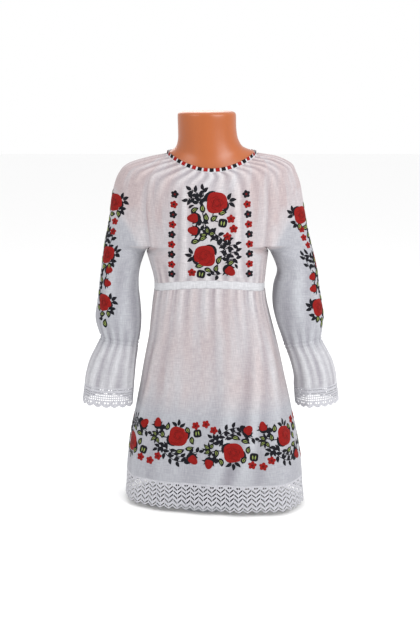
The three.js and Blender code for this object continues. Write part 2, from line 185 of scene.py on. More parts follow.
SLEEVE_COLUMNS = ("z", "centre", "half_width", "half_depth", "forward", "slope")
SLEEVE_LEFT = RingTable(
    SLEEVE_COLUMNS,
    (
        (461, 148.5, 38.5, 38, 0, -6),
        (432, 155.0, 34.0, 34, 2, -2),
        (405, 158.0, 34.5, 32, 4, 0),
        (375, 158.5, 37.5, 33, 5, 1),
        (345, 159.0, 40.0, 34, 6, 3),
        (320, 158.5, 36.0, 31, 7, 5),
        (307, 158.5, 32.5, 28, 7, 6),
        (294, 162.0, 35.0, 30, 7, 6),
        (268, 170.0, 39.0, 34, 7, 5),
        (242, 175.5, 42.0, 36, 7, 4),
        (225, 178.0, 43.0, 37, 7, 3),
    ),
)
SLEEVE_RIGHT = RingTable(
    SLEEVE_COLUMNS,
    (
        (461, 150.5, 39.5, 38, 0, -6),
        (432, 159.0, 35.0, 34, 2, -2),
        (405, 158.0, 39.5, 34, 4, 0),
        (375, 160.5, 43.0, 35, 5, 1),
        (345, 165.5, 42.0, 35, 6, 3),
        (318, 169.5, 35.5, 31, 7, 5),
        (303, 171.5, 32.0, 28, 7, 6),
        (290, 177.0, 32.5, 29, 7, 6),
        (268, 186.0, 34.5, 31, 7, 4),
        (243, 192.5, 35.5, 33, 7, 2),
        (225, 194.0, 36.5, 34, 7, 2),
    ),
)
ELASTIC_ROW = 6

FORM_COLUMNS = ("half_width", "front", "back", "shift", "side_z", "front_z", "back_z")
FORM_NECK = RingTable(
    FORM_COLUMNS,
    (
        (44.0, 43.0, 42.0, -1.0, 710, 710, 710),
        (48.5, 47.0, 46.0, -1.0, 708, 708, 708),
        (50.5, 49.0, 48.0, -1.0, 703, 703, 703),
        (50.5, 48.5, 48.0, -0.5, 682, 680, 682),
        (52.0, 49.0, 48.0, 1.0, 664, 656, 666),
        (58.0, 51.0, 48.0, 3.5, 650, 634, 654),
    ),
)
FORM_HIPS = RingTable(
    FORM_COLUMNS,
    (
        (91.0, 66.0, 60.0, 3.5, 399, 405, 399),
        (93.0, 67.0, 62.0, 3.5, 370, 374, 370),
        (99.0, 70.0, 65.0, 4.5, 320, 321, 320),
        (106.0, 72.0, 68.0, 6.0, 260, 260, 260),
        (107.0, 72.0, 69.0, 7.0, 215, 215, 215),
        (104.0, 69.0, 66.0, 7.0, 192, 192, 192),
        (97.0, 62.0, 59.0, 7.0, 185, 185, 185),
    ),
)


# ---------- shape maths
def smooth(value: Array | float, low: float, high: float) -> Array:
    """A smooth rise from 0 to 1 between two values."""
    part = np.clip((np.asarray(value, dtype=float) - low) / (high - low), 0, 1)
    return part * part * (3 - 2 * part)


def bump(value: Array | float, middle: float, width: float) -> Array:
    """A rounded hump of height 1."""
    return np.exp(-(((np.asarray(value, dtype=float) - middle) / width) ** 2))


def ring_point(ring: Ring, angle: Array) -> Array:
    """A point of a level ring; angle 0 is +X and -90 the front.

    Args:
        ring: The ring's sizes.
        angle: Degrees round the ring.

    Returns:
        Points in mm, one for each angle.
    """
    a = np.radians(angle)
    square = ring.get("square", 0.0)
    across = (np.cos(a) - square * np.cos(3 * a)) / (1 - square)
    along = (np.sin(a) + square * np.sin(3 * a)) / (1 - square)
    is_front = np.sin(a) < 0
    depth = np.where(is_front, ring["front"], ring["back"])
    pinch = 1 - ring.get("pinch", 0.0) * np.sin(2 * a) ** 2
    x = ring["half_width"] * across
    y = depth * along * pinch
    turn = np.radians(ring.get("turn", 0.0))
    share = np.sin(a) ** 2
    end_z = np.where(is_front, ring["front_z"], ring["back_z"])
    return joined(
        ring["shift"] + x * np.cos(turn) - y * np.sin(turn),
        x * np.sin(turn) + y * np.cos(turn),
        ring["side_z"] + (end_z - ring["side_z"]) * share,
    )


def yoke_point(angle: Array, place: Array) -> Array:
    """A point of the yoke's rings."""
    return ring_point(YOKE.at(place), angle)


def body_point(angle: Array, place: Array) -> Array:
    """A point of the body's rings."""
    return ring_point(BODY.at(place), angle)


def gather_wave(angle: Array, count: float, offset: float) -> Array:
    """Uneven gathers from 0 to 1 whose pitch and height drift round the ring.

    Args:
        angle: Degrees round the ring.
        count: Gathers round the ring.
        offset: Shifts the unevenness.

    Returns:
        Heights from 0 to 1.
    """
    a = np.radians(angle)
    drift = 0.9 * np.sin(2 * a + offset) + 0.6 * np.sin(5 * a + 2.3 * offset)
    height = 0.8 + 0.2 * np.sin(3 * a + 1.7 * offset)
    return height * (0.5 + 0.5 * np.sin(count * a + drift))


def pucker(angle: Array, count: float, offset: float) -> Array:
    """Small uneven puckers from -1 to 1, finer than the gathers.

    Args:
        angle: Degrees round the ring.
        count: Puckers round the ring.
        offset: Shifts the unevenness.

    Returns:
        Heights from -1 to 1.
    """
    a = np.radians(angle)
    drift = 1.3 * np.sin(3 * a + offset) + 0.8 * np.sin(7 * a + 2 * offset)
    swell = 0.65 + 0.35 * np.sin(11 * a + 3 * offset)
    return swell * np.sin(count * a + drift)


def uneven(angle: Array, offset: float) -> Array:
    """A slow uneven swell from 0 to 1 round the ring.

    Args:
        angle: Degrees round the ring.
        offset: Shifts the swell.

    Returns:
        The swell at each angle.
    """
    a = np.radians(angle)
    swing = np.sin(5 * a + 1.3 * offset) * np.sin(11 * a + 2.9 * offset) + 0.5 * np.sin(17 * a + offset)
    return 0.5 + swing / 3


def unit(vectors: Array) -> Array:
    """The same directions, each of length 1."""
    return vectors / (np.linalg.norm(vectors, axis=-1, keepdims=True) + TINY)


def joined(x: Array, y: Array, z: Array) -> Array:
    """Points from their three coordinates."""
    return np.stack(np.broadcast_arrays(x, y, z), axis=-1)


def run_length(points: Array) -> Array:
    """How far each point is from the first, along the line through them."""
    return np.concatenate([[0], np.cumsum(np.linalg.norm(np.diff(points, axis=0), axis=-1))])


# ---------- meshes
def linked(name: str, data: bpy.types.ID) -> Piece:
    """A new object in the scene.

    Args:
        name: The object's name.
        data: Its mesh, camera or light.

    Returns:
        The object, at the origin.
    """
    piece = bpy.data.objects.new(name, data)
    bpy.context.scene.collection.objects.link(piece)
    return piece


def lay_uv(mesh: bpy.types.Mesh, uvs: Array) -> None:
    """Gives a mesh the cloth's UV map.

    Args:
        mesh: The mesh.
        uvs: Each vertex's place on the cloth, in metres.
    """
    loops = np.empty(len(mesh.loops), dtype=np.int32)
    mesh.loops.foreach_get("vertex_index", loops)
    layer = mesh.uv_layers.new(name="cloth")
    layer.data.foreach_set("uv", uvs[loops].astype(np.float32).ravel())


@dataclass
class Wall:
    """A thin cloth wall: outer points with their outward directions and faces."""

    points: Array
    normals: Array
    faces: list[tuple[int, ...]]
    uvs: Array
    attributes: dict[str, Array] = field(default_factory=dict)

    def build(self, name: str, thickness: float) -> Piece:
        """Makes the closed wall as an object.

        Args:
            name: The piece's name.
            thickness: The cloth's thickness in mm.

        Returns:
            The object, at the origin, with its mesh in metres.
        """
        count = len(self.points)
        inner = self.points - self.normals * thickness
        vertices = np.concatenate([self.points, inner]) * MM
        faces = list(self.faces)
        faces += [tuple(count + i for i in reversed(face)) for face in self.faces]
        faces += self.rim(count)
        mesh = bpy.data.meshes.new(name)
        mesh.from_pydata(vertices.tolist(), [], faces)
        lay_uv(mesh, np.tile(self.uvs, (2, 1)))
        for key, values in self.attributes.items():
            attribute = mesh.attributes.new(key, "FLOAT", "POINT")
            attribute.data.foreach_set("value", np.tile(values, 2).astype(np.float32))
        mesh.shade_smooth()
        mesh.set_sharp_from_angle(angle=math.radians(60))
        return linked(name, mesh)

    def rim(self, count: int) -> list[tuple[int, ...]]:
        """Faces that join the outer and the inner wall along every open edge.

        Args:
            count: How many outer points the wall has.

        Returns:
            The faces.
        """
        seen: dict[tuple[int, int], tuple[int, int] | None] = {}
        for face in self.faces:
            for i, start in enumerate(face):
                end = face[(i + 1) % len(face)]
                key = (min(start, end), max(start, end))
                seen[key] = None if key in seen else (start, end)
        edges = [edge for edge in seen.values() if edge is not None]
        return [(end, start, start + count, end + count) for start, end in edges]


def grid_faces(rows: int, columns: int, closed: bool, keep: Array | None = None) -> list[tuple[int, ...]]:
    """Quads of a grid of points, facing outwards.

    Args:
        rows: Points down the grid.
        columns: Points along each row.
        closed: Whether each row joins up with its own start.
        keep: Which quads are cloth, the others being holes.

    Returns:
        The faces.
    """
    spans = columns if closed else columns - 1
    faces = []
    for row in range(rows - 1):
        for column in range(spans):
            if keep is not None and not keep[row, column]:
                continue
            right = (column + 1) % columns
            faces.append((
                row * columns + column,
                (row + 1) * columns + column,
                (row + 1) * columns + right,
                row * columns + right,
            ))
    return faces


def over_row(relief: Array, reach: int) -> Array:
    """How far each point stands over the mean of its own row around it.

    Args:
        relief: Heights over the smooth shape, one row for each line of the grid.
        reach: How many points the mean takes on each side.

    Returns:
        The heights over that mean.
    """
    padded = np.pad(relief, ((0, 0), (reach + 1, reach)), mode="edge")
    total = np.cumsum(padded, axis=1)
    window = 2 * reach + 1
    return relief - (total[:, window:] - total[:, :-window]) / window


SurfaceMap = Callable[[Array, Array], Array]


@dataclass
class Panel:
    """A cloth panel: a smooth shape and what stands out of it, over u and v.

    u runs from 0 to 1 anticlockwise seen from above, and v runs down.
    """

    base: SurfaceMap
    relief: SurfaceMap
    last_v: float
    inset: float = 0.02
    fold_shade_mm: float = 11.0
    steps: tuple[float, float] = (0.004, 0.05)

    def frame(self, u: Array, v: Array) -> tuple[Array, Array]:
        """The smooth shape's points and outward directions.

        Args:
            u: Places across.
            v: Rows down.

        Returns:
            The points and the directions.
        """
        u_step, v_step = self.steps
        along_u = self.base(np.minimum(u + u_step, 1), v) - self.base(np.maximum(u - u_step, 0), v)
        along_v = self.base(u, np.minimum(v + v_step, self.last_v)) - self.base(u, np.maximum(v - v_step, 0))
        return self.base(u, v), unit(np.cross(along_v, along_u))

    def points(self, u: Array, v: Array, lift: float = 0.0) -> tuple[Array, Array]:
        """Points on the cloth, moved out by a lift in mm."""
        base, normal = self.frame(u, v)
        return base + normal * (self.relief(u, v) + lift)[..., None], normal

    def wall(self, u_values: Array, v_values: Array, keep: Array | None = None,
             sag: Array | None = None, closed: bool = False) -> Wall:
        """Makes the panel's wall over a grid.

        Args:
            u_values: Places along each row.
            v_values: Places down the panel.
            keep: Which quads are cloth.
            sag: Added to v at each grid point, for zigzag rows and pointed edges.
            closed: Whether the rows close into a ring.

        Returns:
            The wall.
        """
        u, v = np.meshgrid(u_values, v_values)
        if sag is not None:
            v = v + sag
        points, normals = self.points(u, v)
        points = self.trim(points, closed)
        rows, columns = u.shape
        across = np.linalg.norm(np.diff(points, axis=1), axis=-1).mean(axis=0)
        down = np.linalg.norm(np.diff(points, axis=0), axis=-1).mean(axis=1)
        u_length = np.concatenate([[0], np.cumsum(across)])
        v_length = np.concatenate([[0], np.cumsum(down)])
        uv = np.stack(np.meshgrid(u_length, v_length), axis=-1) * MM
        # The fold attribute, each point's height over its row's mean, marks where the cloth's finish paints
        # shade into the gathers' valleys.
        fold = over_row(self.relief(u, v), round(self.fold_shade_mm / max(float(across.mean()), 0.1)))
        return Wall(
            points.reshape(-1, 3), normals.reshape(-1, 3),
            grid_faces(rows, columns, closed, keep), uv.reshape(-1, 2), {"fold": fold.ravel()},
        )

    def trim(self, points: Array, closed: bool) -> Array:
        """Draws the edges in by half a seam's gap, so that pieces lie side by side.

        Args:
            points: The points of the grid.
            closed: Whether the rows close into a ring.

        Returns:
            The points with the edges drawn in.
        """
        trimmed = points.copy()
        pairs = [((0, slice(None)), (1, slice(None))), ((-1, slice(None)), (-2, slice(None)))]
        if not closed:
            pairs += [((slice(None), 0), (slice(None), 1)), ((slice(None), -1), (slice(None), -2))]
        for edge, inner in pairs:
            trimmed[edge] += unit(points[inner] - points[edge]) * self.inset
        return trimmed


# ---------- materials
def linear(code: str) -> tuple[float, float, float, float]:
    """A colour's linear values from its sRGB hex code.

    Args:
        code: The code, such as #c3c3c6.

    Returns:
        Red, green, blue and alpha.
    """
    parts = [int(code[i:i + 2], 16) / 255 for i in (1, 3, 5)]
    values = [p / 12.92 if p <= 0.04045 else ((p + 0.055) / 1.055) ** 2.4 for p in parts]
    return (values[0], values[1], values[2], 1.0)


def set_inputs(tree: Tree, node: Node, inputs: dict) -> None:
    """Gives a node's sockets their values and links.

    Args:
        tree: The node tree.
        node: The node.
        inputs: Socket names or numbers with a value, or a socket to link from.
    """
    for socket, value in inputs.items():
        if isinstance(value, Socket):
            tree.links.new(value, node.inputs[socket])
        else:
            node.inputs[socket].default_value = value


def add_node(tree: Tree, kind: str, settings: dict | None = None,
             inputs: dict | None = None) -> Node:
    """Adds a node with its settings, values and links.

    Args:
        tree: The node tree.
        kind: The node's type name.
        settings: Attributes to set on the node.
        inputs: Socket names or numbers with a value, or a socket to link from.

    Returns:
        The node.
    """
    node = tree.nodes.new(kind)
    for name, value in (settings or {}).items():
        setattr(node, name, value)
    set_inputs(tree, node, inputs or {})
    return node


# A Mix node that blends colours: its settings, the places of its inputs and of its result.
COLOURS = {"data_type": "RGBA"}
SHARE, FIRST, SECOND, MIXED = 0, 6, 7, 2


class Finish:
    """A finish: a material that is made once and put on each piece that has it."""

    name = "finish"

    def material(self) -> Material:
        """The finish's material, made the first time that it is asked for.

        Returns:
            The material.
        """
        known = bpy.data.materials.get(self.name)
        if known is not None:
            return known
        material = bpy.data.materials.new(self.name)
        material.use_nodes = True
        tree = material.node_tree
        tree.nodes.clear()
        shader = add_node(tree, "ShaderNodeBsdfPrincipled")
        output = add_node(tree, "ShaderNodeOutputMaterial")
        tree.links.new(shader.outputs["BSDF"], output.inputs["Surface"])
        self.dress(tree, shader)
        return material

    def dress(self, tree: Tree, shader: Node) -> None:
        """Sets the shader's colour, roughness and bump."""
        raise NotImplementedError


@dataclass(frozen=True)
class CottonVoile(Finish):
    """Bleached cotton voile, plain woven with slubs.

    The eye gets a soft matt white with a faint grid of thicker threads, a warm blush
    where the thin cloth lies on the form and lets its colour through, a cooler grey of painted
    shade where nothing is behind it and the shaded inside shows through, and painted shade
    in the gathers' valleys.
    """

    name: str = "cotton_voile"
    white: str = "#c3c3c6"
    thread: str = "#acacb0"
    blush: str = "#f5e3df"
    hollow: str = "#e6e8eb"
    valley_shade: str = "#d3d0d4"
    thread_mm: float = 1.5
    slub_mm: float = 14.0
    patch_mm: tuple[float, float] = (26.0, 130.0)
    patch_sharpness: tuple[float, float] = (0.32, 0.62)
    patch_share: tuple[float, float] = (0.35, 1.25)
    thread_sharpness: tuple[float, float] = (0.12, 0.38)
    fold_shade_mm: tuple[float, float] = (-1.0, 0.7)
    bump_mm: float = 0.72

    def slubs(self, tree: Tree, uv: Socket, along: bool) -> Socket:
        """Uneven threads in one direction of the cloth's own UV map.

        Args:
            tree: The node tree.
            uv: The UV map's socket.
            along: Whether the threads run along the cloth.

        Returns:
            The thickness of the threads.
        """
        fine, long = 1 / (self.thread_mm * MM), 1 / (self.slub_mm * MM)
        scale = (long, fine, 1) if along else (fine, long, 1)
        mapping = add_node(tree, "ShaderNodeMapping", inputs={"Vector": uv, "Scale": scale})
        noise = add_node(tree, "ShaderNodeTexNoise", inputs={
            "Vector": mapping.outputs["Vector"], "Scale": 1.0, "Detail": 2.0, "Roughness": 0.6})
        return noise.outputs["Fac"]

    def patches(self, tree: Tree, uv: Socket) -> Socket:
        """Long soft patches where the cloth lies closer to the form or stands off it.

        Args:
            tree: The node tree.
            uv: The UV map's socket.

        Returns:
            How strongly the form shows in each patch.
        """
        across, along = self.patch_mm
        mapping = add_node(tree, "ShaderNodeMapping", inputs={
            "Vector": uv, "Scale": (1 / (across * MM), 1 / (along * MM), 1)})
        noise = add_node(tree, "ShaderNodeTexNoise", inputs={
            "Vector": mapping.outputs["Vector"], "Scale": 1.0, "Detail": 2.0}).outputs["Fac"]
        (low, high), (least, most) = self.patch_sharpness, self.patch_share
        return add_node(tree, "ShaderNodeMapRange", inputs={
            "Value": noise, "From Min": low, "From Max": high, "To Min": least, "To Max": most}).outputs[0]

    def dress(self, tree: Tree, shader: Node) -> None:
        """Weaves the slubs, paints shade in the gathers' valleys and where nothing is behind, and tints by
        contact.

        Args:
            tree: The node tree.
            shader: Its surface shader.
        """
        uv = add_node(tree, "ShaderNodeUVMap", {"uv_map": "cloth"}).outputs["UV"]
        warp = self.slubs(tree, uv, True)
        weft = self.slubs(tree, uv, False)
        weave = add_node(tree, "ShaderNodeMath", {"operation": "MULTIPLY"}, {0: warp, 1: weft}).outputs[0]
        low, high = self.thread_sharpness
        spread = add_node(tree, "ShaderNodeMapRange", inputs={
            "Value": weave, "From Min": low, "From Max": high}).outputs[0]
        cloth = add_node(tree, "ShaderNodeMix", COLOURS, {
            SHARE: spread, FIRST: linear(self.thread), SECOND: linear(self.white)}).outputs[MIXED]
        contact = add_node(tree, "ShaderNodeAttribute", {"attribute_name": "contact"}).outputs["Fac"]
        # Painted shade: a cooler grey where nothing is behind the cloth, for the shaded inside showing
        # through.
        empty = add_node(tree, "ShaderNodeAttribute", {"attribute_name": "hollow"}).outputs["Fac"]
        hollow_shaded = add_node(tree, "ShaderNodeMix", COLOURS, {
            SHARE: empty, FIRST: WHITE, SECOND: linear(self.hollow)}).outputs[MIXED]
        touch = add_node(tree, "ShaderNodeMath", {"operation": "MULTIPLY"}, {
            0: contact, 1: self.patches(tree, uv)}).outputs[0]
        warm = add_node(tree, "ShaderNodeMix", COLOURS, {
            SHARE: touch, FIRST: hollow_shaded, SECOND: linear(self.blush)}).outputs[MIXED]
        # Painted shade in the gathers' valleys: the fold attribute greys the colour where the cloth dips
        # below its row's mean.
        fold = add_node(tree, "ShaderNodeAttribute", {"attribute_name": "fold"}).outputs["Fac"]
        deep, high = self.fold_shade_mm
        unshaded_share = add_node(tree, "ShaderNodeMapRange", inputs={
            "Value": fold, "From Min": deep, "From Max": high}).outputs[0]
        grey = add_node(tree, "ShaderNodeMix", COLOURS, {
            SHARE: unshaded_share, FIRST: linear(self.valley_shade), SECOND: WHITE}).outputs[MIXED]
        shaded = add_node(tree, "ShaderNodeMix", {**COLOURS, "blend_type": "MULTIPLY"}, {
            SHARE: 1.0, FIRST: warm, SECOND: grey}).outputs[MIXED]
        tinted = add_node(tree, "ShaderNodeMix", {**COLOURS, "blend_type": "MULTIPLY"}, {
            SHARE: 1.0, FIRST: cloth, SECOND: shaded}).outputs[MIXED]
        bump_node = add_node(tree, "ShaderNodeBump", inputs={
            "Height": weave, "Distance": self.bump_mm * MM, "Strength": 0.5})
        set_inputs(tree, shader, {
            "Base Color": tinted, "Normal": bump_node.outputs["Normal"], "Roughness": 0.9,
            "Sheen Weight": 0.1, "Specular IOR Level": 0.2})


@dataclass(frozen=True)
class CrochetCotton(Finish):
    """Crocheted mercerised cotton thread.

    The eye gets a slightly greyer white than the cloth with a tight twist of thread.
    """

    name: str = "crochet_cotton"
    light: str = "#c0c0c5"
    shade: str = "#98989f"
    twist_mm: float = 1.4

    def dress(self, tree: Tree, shader: Node) -> None:
        """Knots the thread with a small cell pattern in colour and height.

        Args:
            tree: The node tree.
            shader: Its surface shader.
        """
        uv = add_node(tree, "ShaderNodeUVMap", {"uv_map": "cloth"}).outputs["UV"]
        cells = add_node(tree, "ShaderNodeTexVoronoi", inputs={
            "Vector": uv, "Scale": 1 / (self.twist_mm * MM)}).outputs["Distance"]
        colour = add_node(tree, "ShaderNodeMix", COLOURS, {
            SHARE: cells, FIRST: linear(self.light), SECOND: linear(self.shade)}).outputs[MIXED]
        bump_node = add_node(tree, "ShaderNodeBump", {"invert": True}, {
            "Height": cells, "Distance": 0.5 * MM, "Strength": 0.6})
        set_inputs(tree, shader, {
            "Base Color": colour, "Normal": bump_node.outputs["Normal"], "Roughness": 0.85,
            "Sheen Weight": 0.2})


@dataclass(frozen=True)
class EmbroideryFloss(Finish):
    """Stranded embroidery floss laid in satin stitch.

    The eye gets a saturated colour broken by fine parallel stitches that catch the light.
    """

    name: str = "floss"
    colour: str = "#c01c20"
    shade: str = "#8e1014"
    stitch_mm: float = 1.1
    patch_mm: float = 5.0

    def dress(self, tree: Tree, shader: Node) -> None:
        """Lays the stitches side by side along each motif's own direction.

        Args:
            tree: The node tree.
            shader: Its surface shader.
        """
        uv = add_node(tree, "ShaderNodeUVMap", {"uv_map": "cloth"}).outputs["UV"]
        wave = add_node(tree, "ShaderNodeTexWave", {"wave_type": "BANDS", "bands_direction": "X"}, {
            "Vector": uv, "Scale": 1 / (self.stitch_mm * MM * 2 * math.pi), "Distortion": 1.2,
            "Detail": 2.0, "Detail Scale": 3.0}).outputs["Fac"]
        patches = add_node(tree, "ShaderNodeTexNoise", inputs={
            "Vector": uv, "Scale": 1 / (self.patch_mm * MM), "Detail": 3.0}).outputs["Fac"]
        # Painted light and shade on the stitches: a second tone in bands along them, broken by patches,
        # darker on the coloured flosses and lighter, a painted highlight, on black.
        blend = add_node(tree, "ShaderNodeMath", {"operation": "MULTIPLY"}, {0: wave, 1: patches}).outputs[0]
        colour = add_node(tree, "ShaderNodeMix", COLOURS, {
            SHARE: blend, FIRST: linear(self.colour), SECOND: linear(self.shade)}).outputs[MIXED]
        bump_node = add_node(tree, "ShaderNodeBump", inputs={
            "Height": wave, "Distance": 0.3 * MM, "Strength": 0.6})
        set_inputs(tree, shader, {
            "Base Color": colour, "Normal": bump_node.outputs["Normal"], "Roughness": 0.7,
            "Specular IOR Level": 0.12})


@dataclass(frozen=True)
class MouldedForm(Finish):
    """Glossy moulded polyethylene in a tan skin tone.

    The eye gets a warm even orange-tan with faint upright streaks, a painted reflection of the
    soft lamps, and soft, broad highlights.
    """

    name: str = "moulded_form_plastic"
    tan: str = "#a8571d"
    reflection_streak: str = "#904617"
    reflection_streaks_per_m: tuple[float, float, float] = (28.0, 28.0, 4.0)
    grains_per_m: float = 220.0

    def dress(self, tree: Tree, shader: Node) -> None:
        """Paints upright reflection streaks into the colour and leaves a smooth, softly glossy skin.

        Args:
            tree: The node tree.
            shader: Its surface shader.
        """
        place = add_node(tree, "ShaderNodeTexCoord").outputs["Object"]
        mapping = add_node(tree, "ShaderNodeMapping", inputs={
            "Vector": place, "Scale": self.reflection_streaks_per_m})
        # Painted reflection: upright streaks of lighter and darker tan, as the lamps' reflections run down
        # the glossy form.
        reflection_streaks = add_node(tree, "ShaderNodeTexNoise", inputs={
            "Vector": mapping.outputs["Vector"], "Scale": 1.0, "Detail": 4.0}).outputs["Fac"]
        colour = add_node(tree, "ShaderNodeMix", COLOURS, {
            SHARE: reflection_streaks, FIRST: linear(self.tan), SECOND: linear(self.reflection_streak)}).outputs[MIXED]
        fine = add_node(tree, "ShaderNodeTexNoise", inputs={
            "Vector": place, "Scale": self.grains_per_m, "Detail": 2.0}).outputs["Fac"]
        bump_node = add_node(tree, "ShaderNodeBump", inputs={
            "Height": fine, "Distance": 0.1 * MM, "Strength": 0.2})
        set_inputs(tree, shader, {
            "Base Color": colour, "Normal": bump_node.outputs["Normal"], "Roughness": 0.38,
            "Coat Weight": 0.2, "Coat Roughness": 0.3})


@dataclass(frozen=True)
class PowderCoatedSteel(Finish):
    """Powder coated steel.

    The eye gets a grey satin skin with the coat's fine orange peel.
    """

    name: str = "powder_coated_steel"
    grey: str = "#8d9094"
    shade: str = "#84878b"
    peel_mm: float = 1.5

    def dress(self, tree: Tree, shader: Node) -> None:
        """Gives the coat its slight unevenness.

        Args:
            tree: The node tree.
            shader: Its surface shader.
        """
        place = add_node(tree, "ShaderNodeTexCoord").outputs["Object"]
        peel = add_node(tree, "ShaderNodeTexNoise", inputs={
            "Vector": place, "Scale": 1 / (self.peel_mm * MM), "Detail": 2.0}).outputs["Fac"]
        colour = add_node(tree, "ShaderNodeMix", COLOURS, {
            SHARE: peel, FIRST: linear(self.grey), SECOND: linear(self.shade)}).outputs[MIXED]
        bump_node = add_node(tree, "ShaderNodeBump", inputs={
            "Height": peel, "Distance": 0.1 * MM, "Strength": 0.4})
        set_inputs(tree, shader, {
            "Base Color": colour, "Normal": bump_node.outputs["Normal"], "Metallic": 0.2,
            "Roughness": 0.45})


@dataclass(frozen=True)
class StudioPaper(Finish):
    """Matt white background paper, with no pattern of its own."""

    name: str = "studio_paper"
    white: str = "#fafafa"

    def dress(self, tree: Tree, shader: Node) -> None:
        """Sets a plain matt white."""
        set_inputs(tree, shader, {"Base Color": linear(self.white), "Roughness": 1.0})


VOILE = CottonVoile()
CROCHET = CrochetCotton()
FORM_SKIN = MouldedForm()
STEEL = PowderCoatedSteel()


class Floss(Enum):
    """The colours of thread."""

    RED = EmbroideryFloss("floss_red", "#881310", "#560e0b")
    WINE = EmbroideryFloss("floss_wine", "#5c0d0c", "#3d0808")
    # Black's second tone is lighter: a painted highlight on its stitches.
    BLACK = EmbroideryFloss("floss_black", "#0b0b10", "#1b1c24")
    GREEN = EmbroideryFloss("floss_green", "#8a9750", "#606d38")


# ---------- embroidery
@dataclass
class Stitching:
    """Raised embroidery that is gathered motif by motif, then sewn to a surface."""

    points: list[tuple[float, float]] = field(default_factory=list)
    lifts: list[float] = field(default_factory=list)
    uvs: list[tuple[float, float]] = field(default_factory=list)
    faces: list[tuple[int, ...]] = field(default_factory=list)
    threads: list[Floss] = field(default_factory=list)
    edge_lift: float = 0.05
    edge_mm: float = 0.7
    row_mm: float = 3.5
    crown_share: float = 0.4

    def fill(self, outline: Line, thread: Floss, lift: float,
             angle: float = 0.0) -> None:
        """Fills a shape that is star-like round its middle.

        Args:
            outline: The shape's points in order, in mm.
            thread: The colour of thread.
            lift: The height of the stitches in mm.
            angle: The stitches' direction in degrees.
        """
        ring = np.array(outline)
        middle = ring.mean(axis=0)
        reach = float(np.abs(ring - middle).max())
        steps = max(2, round(reach / self.row_mm))
        shares = [1.0, 1 - self.edge_mm / max(reach, 2 * self.edge_mm)]
        shares += [1 - i / steps for i in range(1, steps)]
        first = len(self.points)
        for number, share in enumerate(shares):
            for point in middle + (ring - middle) * share:
                self.put(point, lift if number else self.edge_lift, angle)
        count = len(ring)
        for row in range(len(shares) - 1):
            for i in range(count):
                j = (i + 1) % count
                low, high = first + row * count, first + (row + 1) * count
                self.face((low + i, low + j, high + j, high + i), thread)
        hub = len(self.points)
        self.put(middle, lift, angle)
        last = first + (len(shares) - 1) * count
        for i in range(count):
            self.face((last + i, last + (i + 1) % count, hub), thread)

    def stroke(self, path: Line, widths: Sequence[float],
               thread: Floss, lift: float) -> None:
        """Sews a line of changing width, such as a stem, leaf or petal.

        Args:
            path: The line's points in mm.
            widths: The half width at each point.
            thread: The colour of thread.
            lift: The height of the stitches in mm.
        """
        line = np.array(path, dtype=float)
        way = unit(np.gradient(line, axis=0))
        side = np.stack([-way[:, 1], way[:, 0]], axis=1)
        first = len(self.points)
        angle = math.degrees(math.atan2(way[len(way) // 2, 1], way[len(way) // 2, 0]))
        for point, across, width in zip(line, side, widths):
            for share, height in ((1, self.edge_lift), (self.crown_share, lift)):
                self.put(point + across * width * share, height, angle)
            for share, height in ((self.crown_share, lift), (1, self.edge_lift)):
                self.put(point - across * width * share, height, angle)
        for i in range(len(line) - 1):
            for j in range(3):
                a = first + 4 * i + j
                self.face((a, a + 1, a + 5, a + 4), thread)

    def put(self, point: Sequence[float], lift: float, angle: float) -> None:
        """Adds a point with its place along the stitches.

        Args:
            point: Its place in mm.
            lift: Its height in mm.
            angle: The stitches' direction in degrees.
        """
        a = math.radians(angle)
        x, y = float(point[0]), float(point[1])
        self.points.append((x, y))
        self.lifts.append(lift)
        self.uvs.append(((x * math.cos(a) + y * math.sin(a)) * MM, (y * math.cos(a) - x * math.sin(a)) * MM))

    def face(self, corners: tuple[int, ...], thread: Floss) -> None:
        """Adds a face in a colour."""
        self.faces.append(corners)
        self.threads.append(thread)

    def sew(self, name: str, drop: Callable[[Array], tuple[Array, Array]]) -> Piece:
        """Lays the embroidery on a surface.

        Args:
            name: The piece's name.
            drop: Gives the surface's points and outward directions for flat points.

        Returns:
            The embroidery as one object with a material for each thread.
        """
        places, normals = drop(np.array(self.points))
        vertices = (places + normals * np.array(self.lifts)[:, None]) * MM
        mesh = bpy.data.meshes.new(name)
        mesh.from_pydata(vertices.tolist(), [], self.faces)
        order = list(Floss)
        for thread in order:
            mesh.materials.append(thread.value.material())
        slots = np.array([order.index(thread) for thread in self.threads], dtype=np.int32)
        mesh.polygons.foreach_set("material_index", slots)
        lay_uv(mesh, np.array(self.uvs))
        outwards = np.array([p.normal for p in mesh.polygons])
        firsts = np.array([p.vertices[0] for p in mesh.polygons])
        flips = (outwards * normals[firsts]).sum(axis=1) < 0
        if flips.mean() > 0.5:
            mesh.flip_normals()
        mesh.shade_smooth()
        return linked(name, mesh)


def turned(points: Line, x: float, y: float, angle: float,
           flip: int = 1) -> list[tuple[float, float]]:
    """Turns points by an angle, flips them up or down and moves them to a place.

    Args:
        points: The points, round the origin.
        x, y: The new middle.
        angle: Degrees, anticlockwise.
        flip: -1 to mirror them up and down.

    Returns:
        The moved points.
    """
    a = math.radians(angle)
    cos, sin = math.cos(a), math.sin(a)
    return [(x + px * cos - py * sin, y + flip * (px * sin + py * cos)) for px, py in points]


def round_angles(count: int) -> Array:
    """Angles evenly apart round a circle, in radians."""
    return np.linspace(0, 2 * math.pi, count, endpoint=False)


